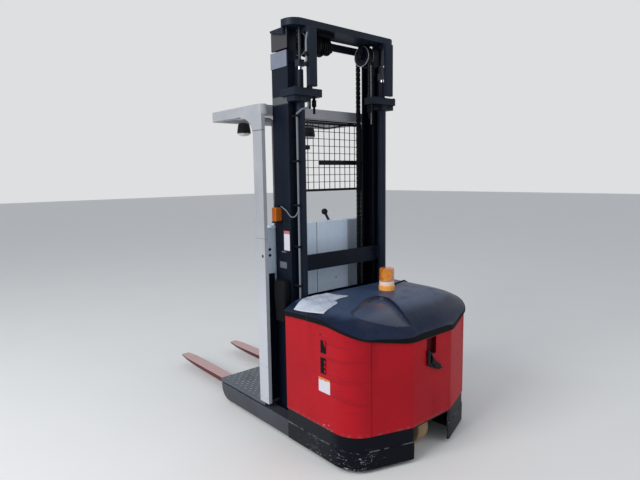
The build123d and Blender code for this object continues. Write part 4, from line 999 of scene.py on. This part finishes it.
# %% Bolts of the mast
heads = bolts(9, 6, (720, 780, 850), (180, 300), (2602,))
low_heads = bolts(8, 6, (722,), (250, 420), (2562,), (0, 0, -1))
piece("top_plate_bolts", mirrored(heads, low_heads), "slate_paint", "inner_mast")
heads = bolts(8, 6, (700, 802), (446,), (2199,))
cheeks = bolts(7, 5, (704,), (338, 402), (2137,), (-1, 0, 0))
piece("collar_bolts", mirrored(heads, cheeks), "slate_paint")
stud = [(0, 2056), (6, 2056), (8, 2060), (8, 2098), (14, 2100), (15, 2112), (14, 2122)]
stud += [(15, 2124), (15, 2140), (9, 2142), (9, 2156), (0, 2156)]
studs = mirrored(toward(turned(stud, 20), (752, 252, 0)))
piece("chain_anchor_studs", studs, "black_rubber")
heads = bolts(9, 7, (780,), (310, 350), (1078, 1128), (-1, 0, 0))
piece("cross_member_bolts", mirrored(heads), "mast_paint")
print("bolts ready")

# %% [markdown]
# ## Down the mast
# The long grey hose beside the left cylinder is held by black clips. One line leaves it for the signal
# lamp. A blank label, two small plates and a rounded rubber cover sit on the mast's left side.

# %% Clips, branch, plates and cover
ring = turned([(6.2, -7), (10, -7), (10, 7), (6.2, 7), (6.2, -7)])
clip = joined(toward(ring, (726, 413, 0)), card((734, 781), (407, 419), (-6, 6)))
heights = (2034, 1760, 1487, 1226, 975, 700, 400)
clips = repeated(clip, [(0, 0, z) for z in heights])
piece("hose_clips", clips, "black_rubber", width=0.001)
branch = [(726, 416, 1452), (730, 428, 1428), (746, 441, 1414), (776, 442, 1420), (816, 442, 1452)]
piece("lamp_line", hose([*branch, (866, 446, 1478)], 4), "hose_cover")
MAST_SIDE = 436.8
piece("mast_label", card((793, 852), (MAST_SIDE, 437.8), (1196, 1322)), "label_card")
piece("mast_label_band", card((793, 852), (MAST_SIDE, 438.1), (1302, 1322)), "label_red_band")
wide = card((829, 901), (MAST_SIDE, 438), (1077, 1118))
narrow = card((834, 880), (MAST_SIDE, 437.8), (1180, 1188))
piece("mast_plates", joined(wide, narrow), "small_plate")
theta = np.linspace(0, 2 * np.pi, 48, endpoint=False)
wave = np.column_stack([np.cos(theta), np.sin(theta)])
plan = np.sign(wave) * np.abs(wave) ** 0.5 * (60, 31)
levels = [(740, 0), (740, 0.86), (800, 0.9), (900, 1), (965, 1)]
levels += [(990, 0.95), (1004, 0.8), (1009, 0.5), (1010, 0)]
rings = [np.insert(plan * size + (846, 466), 2, z, axis=1) for z, size in levels]
piece("mast_cover", tube(rings, lids=False), "black_rubber")
cap = joined(card((866, 914), (437, 488), (1372, 1382)), card((863, 917), (438, 449), (1466, 1474)))
piece("signal_lamp_feet", mirrored(cap), "dark_plastic", width=0.002)
print("cover rings", len(rings))

# %% [markdown]
# ## Cab
# The deck has raised lugs that keep a boot from slipping: short bars at turns of a right angle, a few
# faces each because there are hundreds. Above the console are a grab bar, two rods along the mesh and one
# small dark holder. The work lamps under the guard are cups that open downwards, with a glass in each.

# %% Chequer lugs
LUG_PITCH, DECK_TOP = 29.0, 164.6


def lug(angle):
    """A bar with pointed ends and a smaller top, turned by the angle."""
    base = np.array([(-12, 0), (-5, -3), (5, -3), (12, 0), (5, 3), (-5, 3)], float)
    turn = np.array([(math.cos(angle), math.sin(angle)), (-math.sin(angle), math.cos(angle))])
    low, high = base @ turn, base * 0.62 @ turn
    return tube([np.insert(low, 2, DECK_TOP, axis=1), np.insert(high, 2, DECK_TOP + 2.6, axis=1)])


rows, columns = np.arange(1038, 1530, LUG_PITCH), np.arange(-522, 530, LUG_PITCH)
spots = np.array([(x, y, 0) for x in rows for y in columns])
odd = np.add.outer(np.arange(len(rows)), np.arange(len(columns))).ravel() % 2 == 1
lugs = joined(repeated(lug(math.pi / 4), spots[odd]), repeated(lug(-math.pi / 4), spots[~odd]))
piece("deck_lugs", lugs, "lug_steel", "cab")
print("deck lugs", len(spots))

# %% Bars, rods and fittings
grip = swept([(960, 26, 1758), (960, -100, 1758), (960, -396, 1758)], 15, 18)
end = turned([(0, -1), (15, -1), (14.4, 5), (10, 10), (4, 12), (0, 12.4)], 18)
end = toward(end, (960, 26, 1758), (0, 1, 0))
foot = card((960, 976), (-404, -384), (1740, 1776))
piece("grab_bar", joined(grip, end, foot), "dark_plastic", "cab", width=0.001)
upper = swept([(974, 380, 2047), (974, 0, 2046), (974, -392, 2046)], 5, 10)
lower = hose([(966, 392, 2012), (966, 101, 2008), (966, -55, 2000), (966, -261, 2036), (966, -300, 2040)], 5)
piece("mesh_rods", joined(upper, lower), "dark_plastic", "cab")
holder = card((951, 973), (122, 160), (1847, 1877))
piece("mesh_fitting", holder, "dark_plastic", "cab", width=0.006)
POST_SIDE = 546
ring = turned([(5.3, -1), (9.5, -1), (9.5, 1), (7.5, 2), (5.3, 1.4), (5.3, -1)], 24)
bush = toward(ring, (940, POST_SIDE, 1158), (0, 1, 0))
piece("gate_hole_bushes", mirrored(bush), "black_rubber", "cab")
heads = bolts(6, 3.5, (932, 998), (POST_SIDE,), (200, 420), (0, 1, 0))
piece("post_bolts", mirrored(heads), "cab_paint", "cab")
knob = turned([(0, -3), (9, -3), (9, 4), (6.5, 8), (0, 8)])
knobs = [toward(knob, (962, 475, z), (-1, 0, 0)) for z in (1193, 1154)]
seat_screw = toward(screw, (962, -113, 926), (-1, 0, 0))
piece("console_knobs", joined(seat_screw, *knobs), "black_rubber", "cab")
# Painted shade: a black sheet behind the drive wheel stands for the shade in its well.
piece("wheel_well_shade_sheet", card((418, 424), (-164, 164), (30, 236)), "black_rubber")
cap = toward(turned([(0, 0), (14, 0), (14, 3), (9, 5), (0, 5)], 24), (1440, 549, 58), (0, 1, 0))
piece("axle_caps", mirrored(cap), "leg_steel")
LAMP = (1483, 310, 0)
cup = [(0, 2055.5), (33, 2055.5), (40, 2049), (44, 2034), (48, 2008)]
cup += [(50, 1984), (46, 1984), (46, 1990), (0, 1990)]
glass = [(0, 1989), (45.5, 1989), (45.5, 1983), (43, 1976), (36, 1970), (20, 1965), (0, 1964)]
cups, glasses = (mirrored(toward(turned(profile, 40), LAMP)) for profile in (cup, glass))
piece("work_lamp_cups", cups, "dark_plastic", "cab", ["work_lamp_housings"])
piece("work_lamp_glasses", glasses, "lamp_glass", "cab", ["work_lamp_lenses"])
print("cab pieces ready")

# %% [markdown]
# ## Light and floor
# A plain pale floor keeps the truck's shadow. The sky gives even light, a large soft lamp on the left
# makes that side brighter, as in the photograph, a weak one fills in from behind, and the camera sees a
# plain pale backdrop. The lamps are kept at a level where a colour renders about as it is written.

# %% Light and floor
floor_mesh = bpy.data.meshes.new("floor")
reach = 40.0
corners = [(-reach, -reach, 0), (reach, -reach, 0), (reach, reach, 0), (-reach, reach, 0)]
floor_mesh.from_pydata(corners, [], [(0, 1, 2, 3)])
floor = shown("floor", floor_mesh)
ground = Finish("pale_floor")
tone = mix(cloud(ground.at, 1.5, 2.0), paint("#e4e4e2"), paint("#e8e8e6"))
ground.put(Base_Color=tone, Roughness=0.85)
floor_mesh.materials.append(ground.material)

world = bpy.data.worlds.new("sky")
bpy.context.scene.world = world
world.use_nodes = True
sky = Signal(world.node_tree)
rays = [sky.make("LightPath", out=f"Is {kind} Ray") for kind in ("Camera", "Glossy", "Transmission")]
seen = rays[0].maths("MAXIMUM", rays[0], rays[1].maths("MAXIMUM", rays[1], rays[2]))
backdrop = sky.make("Background", sockets={"Color": paint("#dedfe0"), "Strength": 1.0})
daylight = sky.make("Background", sockets={"Color": paint("#f0f6ff"), "Strength": 0.56})
both = sky.make("MixShader", sockets={0: seen, 1: daylight, 2: backdrop})
sky.plug(world.node_tree.nodes["World Output"].inputs["Surface"], both)


TRUCK_MIDDLE = Vector((0.0, 0.0, 1.0))


def soft_lamp(name, place, size, power):
    """A square lamp at place, size metres wide, that points at the truck's middle."""
    data = bpy.data.lights.new(name, "AREA")
    data.size, data.energy = size, power
    lamp = shown(name, data)
    turn = (TRUCK_MIDDLE - Vector(place)).to_track_quat("-Z", "Y").to_matrix().to_4x4()
    lamp.matrix_world = Matrix.Translation(place) @ turn


soft_lamp("key", (-0.5, 6.5, 4.5), 4.0, 350.0)
soft_lamp("fill", (-6.0, -2.0, 4.0), 4.0, 50.0)
bpy.context.scene.view_settings.view_transform = "Standard"
print("floor and lamps ready")

# %% Finish
print("nodes without a finish", sorted(set(frame["nodes"]) - COVERED))
